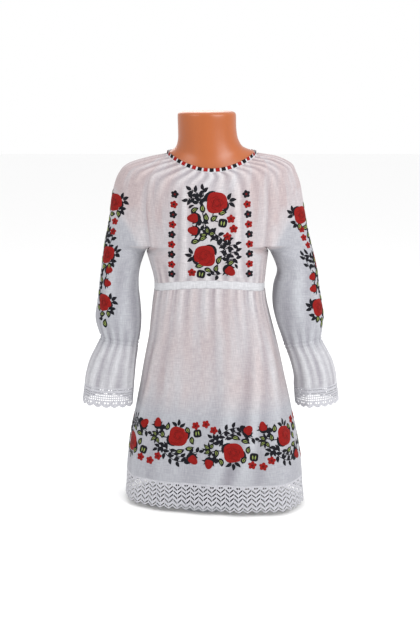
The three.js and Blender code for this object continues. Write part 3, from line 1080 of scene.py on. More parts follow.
@dataclass
class Motifs:
    """Traditional motifs, drawn at a place, turned, and flipped for every other repeat."""

    cloth: Stitching
    flip: int = 1
    stem_width: float = 0.95
    spray_width: float = 0.7
    leaflet_width: float = 3.1
    golden_angle: float = 137.5

    def leaf(self, x: float, y: float, angle: float, length: float, width: float,
             green: bool = True, from_base: bool = False) -> None:
        """A pointed leaf: green within a black edge and split by its vein, or all black.

        Args:
            x, y: The leaf's middle, or its base.
            angle: The direction of its tip in degrees.
            length: Its length in mm.
            width: Half of its breadth in mm.
            green: Whether it has a green heart.
            from_base: Whether x and y give the base.
        """
        start = 1.0 if from_base else -length / 2
        shares = np.linspace(0, 1, 9)
        path = [(start + length * s, 0.09 * length * math.sin(math.pi * s)) for s in shares]
        widths = [width * math.sin(math.pi * s ** 0.78) ** 0.8 + 0.12 for s in shares]
        self.cloth.stroke(turned(path, x, y, angle, self.flip), widths, Floss.BLACK, 0.45)
        if not green:
            return
        for side in (-1, 1):
            half = [(start + length * (0.20 + 0.58 * s), path[i][1] + side * (0.25 + widths[i] * 0.27))
                    for i, s in enumerate(shares)]
            thin = [max(0.05, (w - 1.0) * 0.29) for w in widths]
            self.cloth.stroke(turned(half, x, y, angle, self.flip), thin, Floss.GREEN, 0.7)

    def round_leaf(self, x: float, y: float, angle: float, size: float = 8.2) -> None:
        """A broad black leaf with a green heart that its vein splits.

        Args:
            x, y: The middle.
            angle: The direction of its tip in degrees.
            size: Its radius in mm.
        """
        outline = []
        for a in round_angles(24):
            reach = size * (0.98 - 0.08 * math.cos(4 * a) + 0.05 * math.cos(a))
            outline.append((reach * math.cos(a), reach * math.sin(a)))
        self.cloth.fill(turned(outline, x, y, angle, self.flip), Floss.BLACK, 0.45, angle)
        for side in (-1, 1):
            path = [(size * (s - 0.45), side * size * (0.24 + 0.10 * s)) for s in np.linspace(0, 0.9, 7)]
            widths = [size * 0.20 * math.sin(math.pi * (0.08 + 0.84 * i / 6)) for i in range(7)]
            self.cloth.stroke(turned(path, x, y, angle, self.flip), widths, Floss.GREEN, 0.75)

    def blossom(self, x: float, y: float, size: float = 7.0, petals: Floss = Floss.RED,
                heart: Floss = Floss.WINE, angle: float = 90.0) -> None:
        """A small flower of five broad petals round a dark heart.

        Args:
            x, y: The middle.
            size: Its radius in mm.
            petals: The petals' thread.
            heart: The heart's thread.
            angle: The first petal's direction in degrees.
        """
        for number in range(5):
            way = angle + 72 * number
            path = [(size * s, 0.0) for s in (0.02, 0.30, 0.58, 0.84, 0.97, 1.02)]
            widths = [size * w for w in (0.10, 0.30, 0.42, 0.34, 0.16, 0.02)]
            self.cloth.stroke(turned(path, x, y, way, self.flip), widths, petals, 0.5)
        dot = [(size * 0.34 * math.cos(a), size * 0.34 * math.sin(a))
               for a in round_angles(9)]
        self.cloth.fill(turned(dot, x, y, 0, self.flip), heart, 0.8)

    def bud(self, x: float, y: float, angle: float, size: float) -> None:
        """A rosebud that opens along its angle, clasped by black sepals.

        Args:
            x, y: The middle.
            angle: The direction of its tip in degrees.
            size: Its radius in mm.
        """
        size *= 1.12
        clasp = [(size * 0.92 * math.cos(a) - size * 0.14, size * 0.86 * math.sin(a))
                 for a in round_angles(22)]
        self.cloth.fill(turned(clasp, x, y, angle, self.flip), Floss.BLACK, 0.4, angle)
        base_x, base_y = turned([(-size * 0.55, 0)], x, y, angle, self.flip)[0]
        for spread in (-125, -72, 72, 125):
            self.leaf(base_x, base_y, angle + spread * 0.6, size * 1.28, 1.9, False, True)
        outline = []
        for a in round_angles(26):
            reach = size * (0.86 + 0.14 * math.cos(a) + 0.08 * math.cos(3 * a))
            outline.append((reach * math.cos(a) + size * 0.08, reach * math.sin(a) * 0.86))
        self.cloth.fill(turned(outline, x, y, angle, self.flip), Floss.RED, 0.65, angle + 60)
        for side in (-1, 1):
            fold = [(size * (0.80 - 1.0 * s), side * size * (0.10 + 0.42 * math.sin(2.4 * s)))
                    for s in np.linspace(0, 1, 8)]
            widths = [0.15 + 0.40 * math.sin(math.pi * i / 7) for i in range(8)]
            self.cloth.stroke(turned(fold, x, y, angle, self.flip), widths, Floss.WINE, 0.8)

    def arc(self, x: float, y: float, reach: float, start: float, end: float, width: float,
            thread: Floss, lift: float, turn: float = 0.0, sway: float = 0.0) -> None:
        """A crescent on a circle, thickest in its middle.

        Args:
            x, y: The circle's middle.
            reach: The circle's radius in mm.
            start: The first angle in degrees.
            end: The last angle in degrees.
            width: Half of its greatest breadth in mm.
            thread: The colour of thread.
            lift: The height of the stitches in mm.
            turn: Turns the crescent, in degrees.
            sway: How far its radius swings, as a share.
        """
        count = max(6, int(abs(end - start) / 11))
        path, widths = [], []
        for i, a in enumerate(np.radians(np.linspace(start, end, count))):
            radius = reach * (1 + sway * math.sin(1.9 * i))
            path.append((radius * math.cos(a), radius * math.sin(a)))
            widths.append(0.12 + width * math.sin(math.pi * i / (count - 1)))
        self.cloth.stroke(turned(path, x, y, turn, self.flip), widths, thread, lift)

    def rose(self, x: float, y: float, size: float, angle: float = 0.0) -> None:
        """A full rose: a square, notched red head with wine folds, clasped by black at two sides.

        Args:
            x, y: The middle.
            size: Its radius in mm.
            angle: Turns it, in degrees.
        """
        self.arc(x, y, size * 0.99, 98, 178, size * 0.25, Floss.BLACK, 0.42, angle)
        self.arc(x, y, size * 1.0, -62, 4, size * 0.2, Floss.BLACK, 0.42, angle)
        head = []
        for a in round_angles(54):
            lobe = 0.99 - 0.055 * math.cos(4 * a) + 0.04 * math.cos(3 * a + 0.5) - 0.02 * math.sin(a)
            notch = 0.22 * math.exp(-((((a + 0.80 + math.pi) % (2 * math.pi)) - math.pi) / 0.22) ** 2)
            head.append((size * (lobe - notch) * math.cos(a), size * (lobe - notch) * math.sin(a)))
        self.cloth.fill(turned(head, x, y, angle, self.flip), Floss.RED, 0.65, angle + 25)
        for petal in range(13):
            way = self.golden_angle * petal
            reach = size * (0.16 + 0.045 * petal)
            hub_x = x + 0.12 * size * math.cos(2.1 * petal)
            hub_y = y + 0.12 * size * math.sin(2.1 * petal)
            self.arc(hub_x, hub_y, reach, way, way + 118 - 4 * petal, 0.5, Floss.WINE, 0.85, angle, 0.09)

    def stem(self, path: Line) -> None:
        """A thin black stem through a few points.

        Args:
            path: The points in mm.
        """
        line = np.array(path, dtype=float)
        places = np.linspace(0, len(line) - 1, 4 * (len(line) - 1) + 1)
        dense = [(float(np.interp(p, range(len(line)), line[:, 0])),
                  float(np.interp(p, range(len(line)), line[:, 1]))) for p in places]
        self.cloth.stroke(dense, [self.stem_width] * len(dense), Floss.BLACK, 0.35)

    def spray(self, points: Line, leaves: int, leaf: float, spread: float = 50.0) -> None:
        """A curved stem with black leaflets on both sides by turns and one at its tip.

        Args:
            points: Three or more points that the stem bends through.
            leaves: How many leaflets stand along it.
            leaf: A leaflet's length in mm.
            spread: The angle between a leaflet and the stem in degrees.
        """
        given = np.array(points, dtype=float)
        places = np.linspace(0, len(given) - 1, 13)
        line = np.stack([np.interp(places, range(len(given)), given[:, i]) for i in (0, 1)], axis=1)
        line[1:-1] = (line[:-2] + 2 * line[1:-1] + line[2:]) / 4
        self.cloth.stroke(line, [self.spray_width] * len(line), Floss.BLACK, 0.35)
        ways = np.gradient(line, axis=0)
        for number in range(leaves):
            place = (len(line) - 1) * (number + 0.25) / leaves
            index = int(place)
            at = line[index] + (line[index + 1] - line[index]) * (place - index)
            way = math.degrees(math.atan2(ways[index, 1] * self.flip, ways[index, 0]))
            side = 1 if number % 2 else -1
            length = leaf * (1.26 - 0.02 * number)
            self.leaf(at[0], at[1], way + side * spread, length, self.leaflet_width, False, True)
        way = math.degrees(math.atan2(ways[-1, 1] * self.flip, ways[-1, 0]))
        self.leaf(line[-1, 0], line[-1, 1], way, leaf * 1.15, 2.9, False, True)

    def sprig(self, x: float, y: float, angle: float, leaf: float, spread: float) -> None:
        """Three slender black leaves from one point.

        Args:
            x, y: The point.
            angle: The middle leaf's direction in degrees.
            leaf: A leaf's length in mm.
            spread: The angle between two leaves in degrees.
        """
        for side in (-1, 0, 1):
            base_x, base_y = turned([(2.2, 0)], x, y, angle + side * spread, self.flip)[0]
            way = angle + side * spread * 0.9
            self.leaf(base_x, base_y, way, leaf * 1.2, self.leaflet_width, False, True)

    def hook(self, x: float, y: float, angle: float, size: float) -> None:
        """A black tendril that curls over and thickens.

        Args:
            x, y: Its base.
            angle: Turns it, in degrees.
            size: Its length in mm.
        """
        path = [(size * (1.1 - 1.3 * s), size * 0.75 * math.sin(2.6 * s)) for s in np.linspace(0, 1, 8)]
        widths = [0.5 + 1.5 * math.sin(math.pi * (i / 7) ** 1.4) for i in range(8)]
        self.cloth.stroke(turned(path, x, y, angle, self.flip), widths, Floss.BLACK, 0.5)

    def fan(self, x: float, y: float, angle: float, size: float, step: float, leaves: int) -> None:
        """A fan of leaves from one point, green and black by turns.

        Args:
            x, y: The point.
            angle: The fan's direction in degrees.
            size: The longest leaf in mm.
            step: The angle between two leaves in degrees.
            leaves: How many leaves there are.
        """
        for number in range(leaves):
            side = number - (leaves - 1) / 2
            length = size * (1.1 - 0.08 * abs(side))
            is_green = number % 2 == 0
            self.leaf(x, y, angle + step * side, length, 3.7 if is_green else 2.2, is_green, True)


# ---------- dress panels
@dataclass
class Gathers:
    """Sizes of the gathers, in mm and counts round the ring."""

    neck_count: int = 38
    neck_height: float = 3.7
    neck_fade_row: float = 6.2
    neck_side_row: float = 2.6
    waist_count: int = 34
    waist_height: float = 3.0
    waist_fade: float = 66
    long_height: float = 3.4
    bodice_height: float = 2.2
    cuff_count: int = 15
    cuff_height: float = 2.2
    cuff_fade: float = 34
    flounce_height: float = 1.7
    shirring_pitch: float = 7.0
    shirring_height: float = 0.7
    seam_depth: float = 1.4
    second_count: int = 21
    fold_count: int = 13
    neck_puckers: tuple[int, float] = (71, 0.35)
    waist_puckers: tuple[int, float] = (89, 0.45)
    cuff_puckers: tuple[int, float] = (53, 0.5)
    fold_heights: tuple[float, float] = (1.3, 0.6)

    def neck(self, angle: Array, v: Array) -> Array:
        """Gathers under the neckband, with fine puckers at their tops.

        Args:
            angle: Degrees round the yoke.
            v: Rows of the yoke.

        Returns:
            Heights in mm.
        """
        facing = np.sin(np.radians(angle)) ** 2
        reach = self.neck_side_row + (self.neck_fade_row - self.neck_side_row) * facing
        reach = reach + 2.0 * (uneven(angle, 0.3) - 0.5)
        fade = 1 - smooth(v, NECKLINE_ROW + 0.4, NECKLINE_ROW + reach)
        top = 1 - smooth(v, NECKLINE_ROW, NECKLINE_ROW + 1.2)
        height = self.neck_height * (0.35 + 0.65 * uneven(angle, 0.9))
        waves = height * fade * gather_wave(angle, self.neck_count, 1.1)
        count, fine = self.neck_puckers
        return waves + fine * top * pucker(angle, count, 0.8)

    def skirt(self, angle: Array, place: Array) -> Array:
        """Gathers under the waistband that fade into a few long folds.

        Args:
            angle: Degrees round the body.
            place: Rows of the body.

        Returns:
            Heights in mm.
        """
        drop = BODY.rows[WAIST_BOTTOM][BODY.columns.index("side_z")] - BODY.at(place)["side_z"]
        reach = self.waist_fade * (0.4 + 1.1 * uneven(angle, 0.6))
        fade = np.exp(-(np.maximum(drop, 0) / reach) ** 1.5) * (0.3 + 0.8 * uneven(angle, 2.2))
        waves = 0.6 * gather_wave(angle, self.waist_count, 0.4)
        waves = waves + 0.5 * gather_wave(angle, self.second_count, 1.9)
        gathers = self.waist_height * fade * waves
        sway = drop / 22 + 5 * np.sin(drop / 70 + np.radians(3 * angle))
        folds = (gather_wave(angle + sway, self.fold_count, 2.1) - 0.5) * (0.4 + uneven(angle, 1.4))
        long = self.long_height * smooth(drop, 20, 120) * folds
        count, height = self.waist_puckers
        return gathers + long + height * np.exp(-np.maximum(drop, 0) / 26) * pucker(angle, count, 1.9)

    def sleeve(self, rows: RingTable, outward: int, turn: Array, place: Array) -> Array:
        """Soft folds down a sleeve, gathers at its elastic and waves in its flounce.

        Args:
            rows: The sleeve's rings.
            outward: 1 on the right and -1 on the left.
            turn: Degrees round the sleeve, 0 on its outer side.
            place: Rows of the sleeve.

        Returns:
            Heights in mm.
        """
        z = rows.at(place)["z"]
        elastic_z = rows.rows[ELASTIC_ROW][0]
        near = np.exp(-(((z - elastic_z) / self.cuff_fade) ** 2))
        flounce = smooth(elastic_z - z, 5, 50) * self.flounce_height
        grow = smooth(place, 0, 1.5)
        seam_fade = smooth(180 - np.abs(turn), 0, 25)
        wide, narrow = self.fold_heights
        fold = wide * (1 + np.sin(np.radians(3 * turn) + z / 34 + outward))
        fold = (fold + narrow * (1 + np.sin(np.radians(7 * turn) - z / 62))) * (1 - near)
        gathers = (self.cuff_height * near + flounce) * gather_wave(turn, self.cuff_count, 0.7 * outward)
        count, height = self.cuff_puckers
        fine = height * np.exp(-np.abs(z - elastic_z) / 14) * pucker(turn, count, 1.0 + outward)
        fine = fine + self.shirring(z - elastic_z)
        return grow * (fold * seam_fade + gathers * (0.45 + 0.55 * uneven(turn + z / 6, 1.0)) + fine)

    def seam(self, u: Array, v: Array, reach: float) -> Array:
        """How deep the cloth dips into the raglan seams.

        Args:
            u: Places across the panel, from seam to seam.
            v: Rows of the yoke.
            reach: How far the dip spreads, as a share of the panel's width.

        Returns:
            The depth in mm.
        """
        dip = np.exp(-((u / reach) ** 2)) + np.exp(-(((1 - u) / reach) ** 2))
        run = smooth(v, NECKLINE_ROW + 1, NECKLINE_ROW + 4) * (1 - smooth(v, UNDERARM_ROW, UNDERARM_ROW + 1))
        return self.seam_depth * dip * run

    def shirring(self, height: Array) -> Array:
        """The elastic's stitched rows, which draw the cloth in."""
        rows = np.cos(2 * math.pi * height / self.shirring_pitch)
        return self.shirring_height * rows * np.exp(-((height / (1.4 * self.shirring_pitch)) ** 2))


GATHERS = Gathers()
BODICE_SEAM = 0.022
SLEEVE_SEAM = 0.03
CUFF_LEAN = 4.0


@dataclass(frozen=True)
class Tucks:
    """The two stitched tucks that run down the front beside the embroidery."""

    places: tuple[float, float] = (-39, 51)
    height: float = 2.4
    width: float = 6.5
    low_end: tuple[float, float] = (424, 436)
    top_end: tuple[float, float] = (578, 600)

    def relief(self, points: Array) -> Array:
        """How far the tucks stand out of the front.

        Args:
            points: Points of the smooth shape.

        Returns:
            The heights in mm.
        """
        x, z = points[..., 0], points[..., 2]
        run = smooth(z, *self.low_end) * (1 - smooth(z, *self.top_end))
        return self.height * run * sum(bump(x, place, self.width) for place in self.places)


def yoke_seam(v: Array) -> Array:
    """The raglan seam's angle on the yoke, from the shoulder."""
    return YOKE.at(np.minimum(v, UNDERARM_ROW))["seam"]


def under_yoke(angle: Array, v: Array, lower: Callable[[Array], Array]) -> Array:
    """A panel that starts on the yoke and goes over into what is below it.

    Args:
        angle: Degrees round the yoke.
        v: Rows down the panel.
        lower: Gives the points of what is below, from its own rows.

    Returns:
        The panel's points.
    """
    below = np.maximum(v - UNDERARM_ROW, 0)
    share = np.clip(below, 0, 1)[..., None]
    top = yoke_point(angle, np.minimum(v, UNDERARM_ROW))
    return top * (1 - share) + lower(np.maximum(below - 1, 0)) * share


def bodice_panel(middle: float) -> Panel:
    """The bodice's front or back: the yoke's middle part, then half the body.

    Args:
        middle: The angle of the panel's middle, -90 in front.

    Returns:
        The panel.
    """

    def angles(u: Array, v: Array) -> tuple[Array, Array]:
        """The yoke's and the body's angle at a place."""
        return middle + (2 * u - 1) * (90 - yoke_seam(v)), middle + (2 * u - 1) * 90

    def base(u: Array, v: Array) -> Array:
        """The smooth shape."""
        yoke_angle, body_angle = angles(u, v)
        return under_yoke(yoke_angle, v, lambda place: body_point(body_angle, place))

    def relief(u: Array, v: Array) -> Array:
        """Gathers at the neck and the waist.

        Args:
            u: Places across.
            v: Rows down.

        Returns:
            Heights in mm.
        """
        yoke_angle, body_angle = angles(u, v)
        waist = smooth(v - UNDERARM_ROW - 1, -0.6, WAIST_TOP) * (0.35 + 0.75 * uneven(body_angle, 1.1))
        height = GATHERS.bodice_height * waist
        total = GATHERS.neck(yoke_angle, v) + height * gather_wave(body_angle, GATHERS.waist_count, 0.4)
        total = total - GATHERS.seam(u, v, BODICE_SEAM)
        return total + Tucks().relief(base(u, v)) if middle < 0 else total

    return Panel(base, relief, UNDERARM_ROW + 1 + WAIST_TOP)


def sleeve_panel(rows: RingTable, outward: int) -> Panel:
    """A sleeve: a cap between the raglan seams that closes into a tube below the arm.

    Args:
        rows: The sleeve's rings.
        outward: 1 on the right and -1 on the left.

    Returns:
        The panel.
    """
    side = 0 if outward > 0 else 180

    def base(u: Array, v: Array) -> Array:
        """The smooth shape."""
        angle = side + (2 * u - 1) * yoke_seam(v)
        return under_yoke(angle, v, lambda place: sleeve_point(rows, outward, u, place))

    def relief(u: Array, v: Array) -> Array:
        """Gathers at the neck and the elastic, and soft folds between.

        Args:
            u: Places across.
            v: Rows down.

        Returns:
            Heights in mm.
        """
        below = np.maximum(v - UNDERARM_ROW - 1, 0)
        gathers = GATHERS.neck(side + (2 * u - 1) * yoke_seam(v), v) - GATHERS.seam(u, v, SLEEVE_SEAM)
        return gathers + GATHERS.sleeve(rows, outward, (2 * u - 1) * 180, below)

    return Panel(base, relief, UNDERARM_ROW + 1 + rows.last)


def sleeve_point(rows: RingTable, outward: int, u: Array, place: Array) -> Array:
    """A point of a sleeve's rings; u is 0.5 on the outer side.

    Args:
        rows: The sleeve's rings.
        outward: 1 on the right and -1 on the left.
        u: Places round the sleeve.
        place: Rows of the sleeve.

    Returns:
        Points in mm.
    """
    ring = rows.at(place)
    turn = outward * (2 * u - 1) * math.pi
    out = np.cos(turn)
    return joined(
        outward * (ring["centre"] + ring["half_width"] * out),
        ring["half_depth"] * np.sin(turn) - ring["forward"],
        ring["z"] + ring["slope"] * out,
    )


def skirt_panel(middle: float) -> Panel:
    """Half of the skirt and of its lace.

    Args:
        middle: The angle of the panel's middle, -90 in front.

    Returns:
        The panel.
    """
    return Panel(
        lambda u, v: body_point(middle + (2 * u - 1) * 90, v),
        lambda u, v: GATHERS.skirt(middle + (2 * u - 1) * 90, v),
        LACE_TIP,
    )


def cuff_lace_panel(rows: RingTable, outward: int, depth: float) -> Panel:
    """The lace below a flounce, going on from its edge.

    Args:
        rows: The sleeve's rings.
        outward: 1 on the right and -1 on the left.
        depth: How deep the lace is, in mm.

    Returns:
        The panel.
    """
    end = rows.at(rows.last)

    def base(u: Array, v: Array) -> Array:
        """The smooth shape.

        Args:
            u: Places across.
            v: Rows down.

        Returns:
            Points in mm.
        """
        turn = outward * (2 * u - 1) * math.pi
        out = np.cos(turn)
        return joined(
            outward * (end["centre"] + CUFF_LEAN * v + (end["half_width"] + v) * out),
            (end["half_depth"] + v) * np.sin(turn) - end["forward"],
            end["z"] + end["slope"] * out - depth * v,
        )

    def relief(u: Array, v: Array) -> Array:
        """The flounce's waves, which go on into the lace."""
        return GATHERS.sleeve(rows, outward, (2 * u - 1) * 180, np.full_like(v, rows.last))

    return Panel(base, relief, 1.0)


# ---------- surfaces to sew on
class Surface:
    """A built cloth piece that embroidery is dropped on, ray by ray."""

    def __init__(self, pieces: Sequence[Piece]) -> None:
        """Joins the pieces' faces into one search tree.

        Args:
            pieces: The built pieces.
        """
        vertices: list[Vector] = []
        faces: list[list[int]] = []
        for piece in pieces:
            start = len(vertices)
            vertices += [vertex.co.copy() for vertex in piece.data.vertices]
            faces += [[start + i for i in polygon.vertices] for polygon in piece.data.polygons]
        self.tree = BVHTree.FromPolygons(vertices, faces)

    def hit(self, origins: Array, ways: Array) -> tuple[Array, Array]:
        """Drops rays on the cloth.

        Args:
            origins: Where each ray starts, in mm.
            ways: Each ray's direction.

        Returns:
            The points hit, in mm, and the directions back along the rays.
        """
        places = np.empty_like(origins)
        for i, (origin, way) in enumerate(zip(origins, ways)):
            found = self.tree.ray_cast(Vector(origin * MM), Vector(way))[0]
            if found is None:
                found = self.tree.find_nearest(Vector(origin * MM))[0]
            places[i] = np.array(found) / MM
        return places, -ways


# ---------- sub-assemblies
@dataclass
class DressForm:
    """The limbless form: neck, shoulders, slanting arm stubs and body to the hips."""

    columns: int = 128
    rows_between: int = 4
    pull: float = 0.8
    clip_top: tuple[float, float] = (150, 571)
    clip_low: tuple[float, float] = (104, 490)
    yoke_inset: tuple[float, ...] = (2.4, 2.4, 2.5, 2.6, 2.8, 3.4, 4.5, 6, 8)
    body_inset: tuple[float, ...] = (12, 9, 7, 7)

    def rings(self) -> Array:
        """The rings from the neck's top to the hips, one point list for each.

        Returns:
            The rings, from the top down.
        """
        angles = np.linspace(-180, 180, self.columns, endpoint=False)
        rings = [ring_point(FORM_NECK.at(i), angles) for i in range(FORM_NECK.last + 1)]
        base = Panel(lambda u, v: yoke_point(-180 + 360 * u, v), lambda u, v: u * 0, UNDERARM_ROW)
        for row, inset in enumerate(self.yoke_inset):
            u = np.clip((angles + 180) / 360, 0.005, 0.995)
            _, normal = base.frame(u, np.full_like(u, row))
            ring = yoke_point(angles, np.full_like(angles, row)) - normal * inset
            (top_x, top_z), (low_x, low_z) = self.clip_top, self.clip_low
            reach = low_x + (top_x - low_x) * (ring[:, 2] - low_z) / (top_z - low_z)
            ring[:, 0] = np.clip(ring[:, 0], -reach, reach)
            rings.append(ring)
        for row, inset in enumerate(self.body_inset):
            ring = BODY.at(row)
            for key in ("half_width", "front", "back"):
                ring[key] = ring[key] - inset
            rings.append(ring_point(ring, angles))
        rings += [ring_point(FORM_HIPS.at(i), angles) for i in range(FORM_HIPS.last + 1)]
        return np.array(rings)

    def build(self) -> Piece:
        """Makes the form's smooth skin, closed at both ends, in place of its solid.

        Returns:
            The form.
        """
        coarse = self.rings()
        places = np.linspace(0, len(coarse) - 1, self.rows_between * (len(coarse) - 1) + 1)
        rings = between(coarse, places, self.pull)
        rows = len(rings)
        faces = grid_faces(rows, self.columns, True)
        points = rings.reshape(-1, 3)
        hubs = [rings[0].mean(axis=0), rings[-1].mean(axis=0)]
        top, low = len(points), len(points) + 1
        last = (rows - 1) * self.columns
        for i in range(self.columns):
            j = (i + 1) % self.columns
            faces.append((top, i, j))
            faces.append((low, last + j, last + i))
        vertices = np.concatenate([points, np.array(hubs)]) * MM
        mesh = bpy.data.meshes.new("form_skin")
        mesh.from_pydata(vertices.tolist(), [], faces)
        mesh.shade_smooth()
        mesh.materials.append(FORM_SKIN.material())
        piece = linked("form_skin", mesh)
        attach(piece, "root")
        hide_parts("dress_form")
        LOG.info("dress form: %d faces", len(mesh.polygons))
        return piece


@dataclass
class Stand:
    """The plain pole and base inside the skirt."""

    nodes: tuple[str, ...] = ("stand_pole", "stand_base")

    def dress(self, frame: dict) -> None:
        """Puts a powder coat on the stand's solids.

        Args:
            frame: The loaded frame.
        """
        for name in self.nodes:
            node = frame["nodes"][name]
            node.data.materials.clear()
            node.data.materials.append(STEEL.material())
            LOG.info("%s: powder coated", name)


class Backing(Enum):
    """What lies behind a piece of cloth."""

    BODY = "the form's body"
    ARM = "the arm's stub and the empty sleeve"
    NOTHING = "nothing that shows"


@dataclass
class Cloth:
    """What every cloth piece shares: its thickness and how it is finished and attached."""

    form: Piece
    thickness: float = 0.5
    lace_thickness: float = 0.7
    touch_mm: float = 3.5
    clear_mm: float = 10.0
    see_through: float = 80.0
    behind_share: float = 0.6
    behind_near: float = 0.3
    form_end: tuple[float, float] = (172.0, 245.0)
    layered_mm: float = 62.0
    layered_z: tuple[float, float] = (400.0, 440.0)
    layered_share: float = 0.65
    flounce_top: tuple[float, float] = (285.0, 315.0)
    flounce_share: float = 0.8

    def __post_init__(self) -> None:
        """Keeps a search tree of the form for the cloth's blush."""
        self.form_tree = BVHTree.FromPolygons(
            [vertex.co.copy() for vertex in self.form.data.vertices],
            [list(polygon.vertices) for polygon in self.form.data.polygons],
        )

    def show_through(self, points: Array, normals: Array, backing: Backing) -> tuple[Array, Array]:
        """How much of the form shows through the cloth at each point, and where nothing does.

        Args:
            points: The cloth's outer points in mm.
            normals: Their outward directions.
            backing: What lies behind the piece.

        Returns:
            The contact: 1 where the cloth lies on the form, less where the form is further behind
            it or the gathers lay the cloth in layers. The hollow shade: 1 where no form is behind it,
            where the finish paints a cooler grey shade for the shaded inside that shows through.
        """
        near = np.empty(len(points))
        behind = np.empty(len(points))
        for i, (point, normal) in enumerate(zip(points, normals)):
            place = Vector(point * MM)
            near[i] = self.form_tree.find_nearest(place)[3] / MM
            depth = self.form_tree.ray_cast(place, Vector(-normal), self.see_through * MM)[3]
            behind[i] = self.see_through if depth is None else depth / MM
        near_end = self.see_through * self.behind_near
        through = self.behind_share * (1 - smooth(behind, near_end, self.see_through))
        through = through * smooth(points[:, 2], *self.form_end)
        layers = np.exp(-((points[:, 0] / self.layered_mm) ** 2)) * smooth(points[:, 2], *self.layered_z)
        contact = np.maximum(1 - smooth(near, self.touch_mm, self.clear_mm), through)
        # Painted shade mask: in a sleeve it rises where no form is close behind and fades over the flounce;
        # elsewhere it covers the cloth below the form's end.
        if backing is Backing.ARM:
            flounce = 1 - smooth(points[:, 2], *self.flounce_top)
            hollow = smooth(behind, self.see_through / 2, self.see_through)
            hollow = hollow * (1 - self.flounce_share * flounce)
        else:
            hollow = 1 - smooth(points[:, 2], *self.form_end)
        return contact * (1 - self.layered_share * layers), hollow

    def finish(self, wall: Wall, name: str, node: str, finish: Finish, flat: tuple[float, float],
               area: float | None = None, thickness: float | None = None,
               backing: Backing = Backing.BODY) -> Piece:
        """Args:
            wall: The cloth's wall.
            name: The piece's name.
            node: The solid that it replaces.
            finish: The finish.
            flat: The width and length that it was cut to, in metres. Not used.
            area: The cut's flat area in square metres, where it isn't a rectangle. Not used.
            thickness: The wall's thickness in mm.
            backing: What lies behind it and shows through.

        Returns:
            The piece.
        """
        if backing is not Backing.NOTHING:
            contact, hollow = self.show_through(wall.points, wall.normals, backing)
            wall.attributes.update(contact=contact, hollow=hollow)
        piece = wall.build(name, thickness or self.thickness)
        piece.data.materials.append(finish.material())
        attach(piece, "root")
        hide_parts(node)
        LOG.info("%s: %d faces", name, len(piece.data.polygons))
        return piece


@dataclass
class Bodice:
    """The front and back of the bodice."""

    cloth: Cloth
    front_grid: tuple[int, int] = (230, 110)
    back_grid: tuple[int, int] = (170, 80)

    def build(self) -> dict[str, Piece]:
        """Makes both halves.

        Returns:
            The front and the back by name.
        """
        pieces = {}
        for side, middle, grid in (("front", -90, self.front_grid), ("back", 90, self.back_grid)):
            panel = bodice_panel(middle)
            v_values = np.linspace(NECKLINE_ROW, UNDERARM_ROW + 1 + WAIST_TOP, grid[1])
            wall = panel.wall(np.linspace(0, 1, grid[0]), v_values)
            pieces[side] = self.cloth.finish(
                wall, f"bodice_{side}_cloth", f"bodice_{side}", VOILE, flat=(0.34, 0.24), area=0.066)
        return pieces


@dataclass
class Sleeve:
    """One sleeve with its lace."""

    cloth: Cloth
    side: str
    rows: RingTable
    outward: int
    grid: tuple[int, int] = (170, 170)
    lace_depth: float = 36
    lace_rows: tuple[float, ...] = (
        0, 2.5, 4.3, 6.0, 8.6, 10.6, 12.6, 14.6, 17.0, 19.0, 21.0, 23.0, 25.5, 27.8, 30.0, 33.0)
    hole_rows: tuple[int, ...] = (1, 4, 6, 8, 10)
    scallop_hole_row: int = 12
    scallop_holes: tuple[int, ...] = (3, 4, 7, 8)
    scallop_mm: float = 4.0
    scallops: int = 18
    columns_per_scallop: int = 12

    def build(self) -> Piece:
        """Makes the sleeve's cloth, from the neckband to the flounce's edge.

        Returns:
            The sleeve.
        """
        panel = sleeve_panel(self.rows, self.outward)
        v_values = np.linspace(NECKLINE_ROW, UNDERARM_ROW + 1 + self.rows.last, self.grid[1])
        wall = panel.wall(np.linspace(0, 1, self.grid[0]), v_values)
        return self.cloth.finish(
            wall, f"sleeve_{self.side}_cloth", f"sleeve_{self.side}", VOILE, flat=(0.34, 0.46),
            area=0.105, backing=Backing.ARM)

    def build_lace(self) -> Piece:
        """Makes the cuff's lace: rows of small holes above a scalloped edge.

        Returns:
            The lace.
        """
        panel = cuff_lace_panel(self.rows, self.outward, self.lace_depth)
        columns = self.scallops * self.columns_per_scallop
        heights = np.array(self.lace_rows)
        keep = np.ones((len(heights) - 1, columns), dtype=bool)
        cell = np.arange(columns)
        for row in self.hole_rows:
            keep[row, cell % 3 != 0] = False
        keep[self.scallop_hole_row, np.isin(cell % self.columns_per_scallop, self.scallop_holes)] = False
        phase = np.arange(columns + 1) * math.pi / self.columns_per_scallop
        drop = np.abs(np.sin(phase)) * self.scallop_mm - self.scallop_mm / 4
        share = smooth(heights, heights[11] - 1, heights[-1])[:, None]
        wall = panel.wall(np.linspace(0, 1, columns + 1), heights / self.lace_depth, keep,
                          share * drop[None, :] / self.lace_depth)
        return self.cloth.finish(
            wall, f"cuff_lace_{self.side}_net", f"cuff_lace_{self.side}", CROCHET, flat=(0.26, 0.036),
            thickness=self.cloth.lace_thickness, backing=Backing.NOTHING)


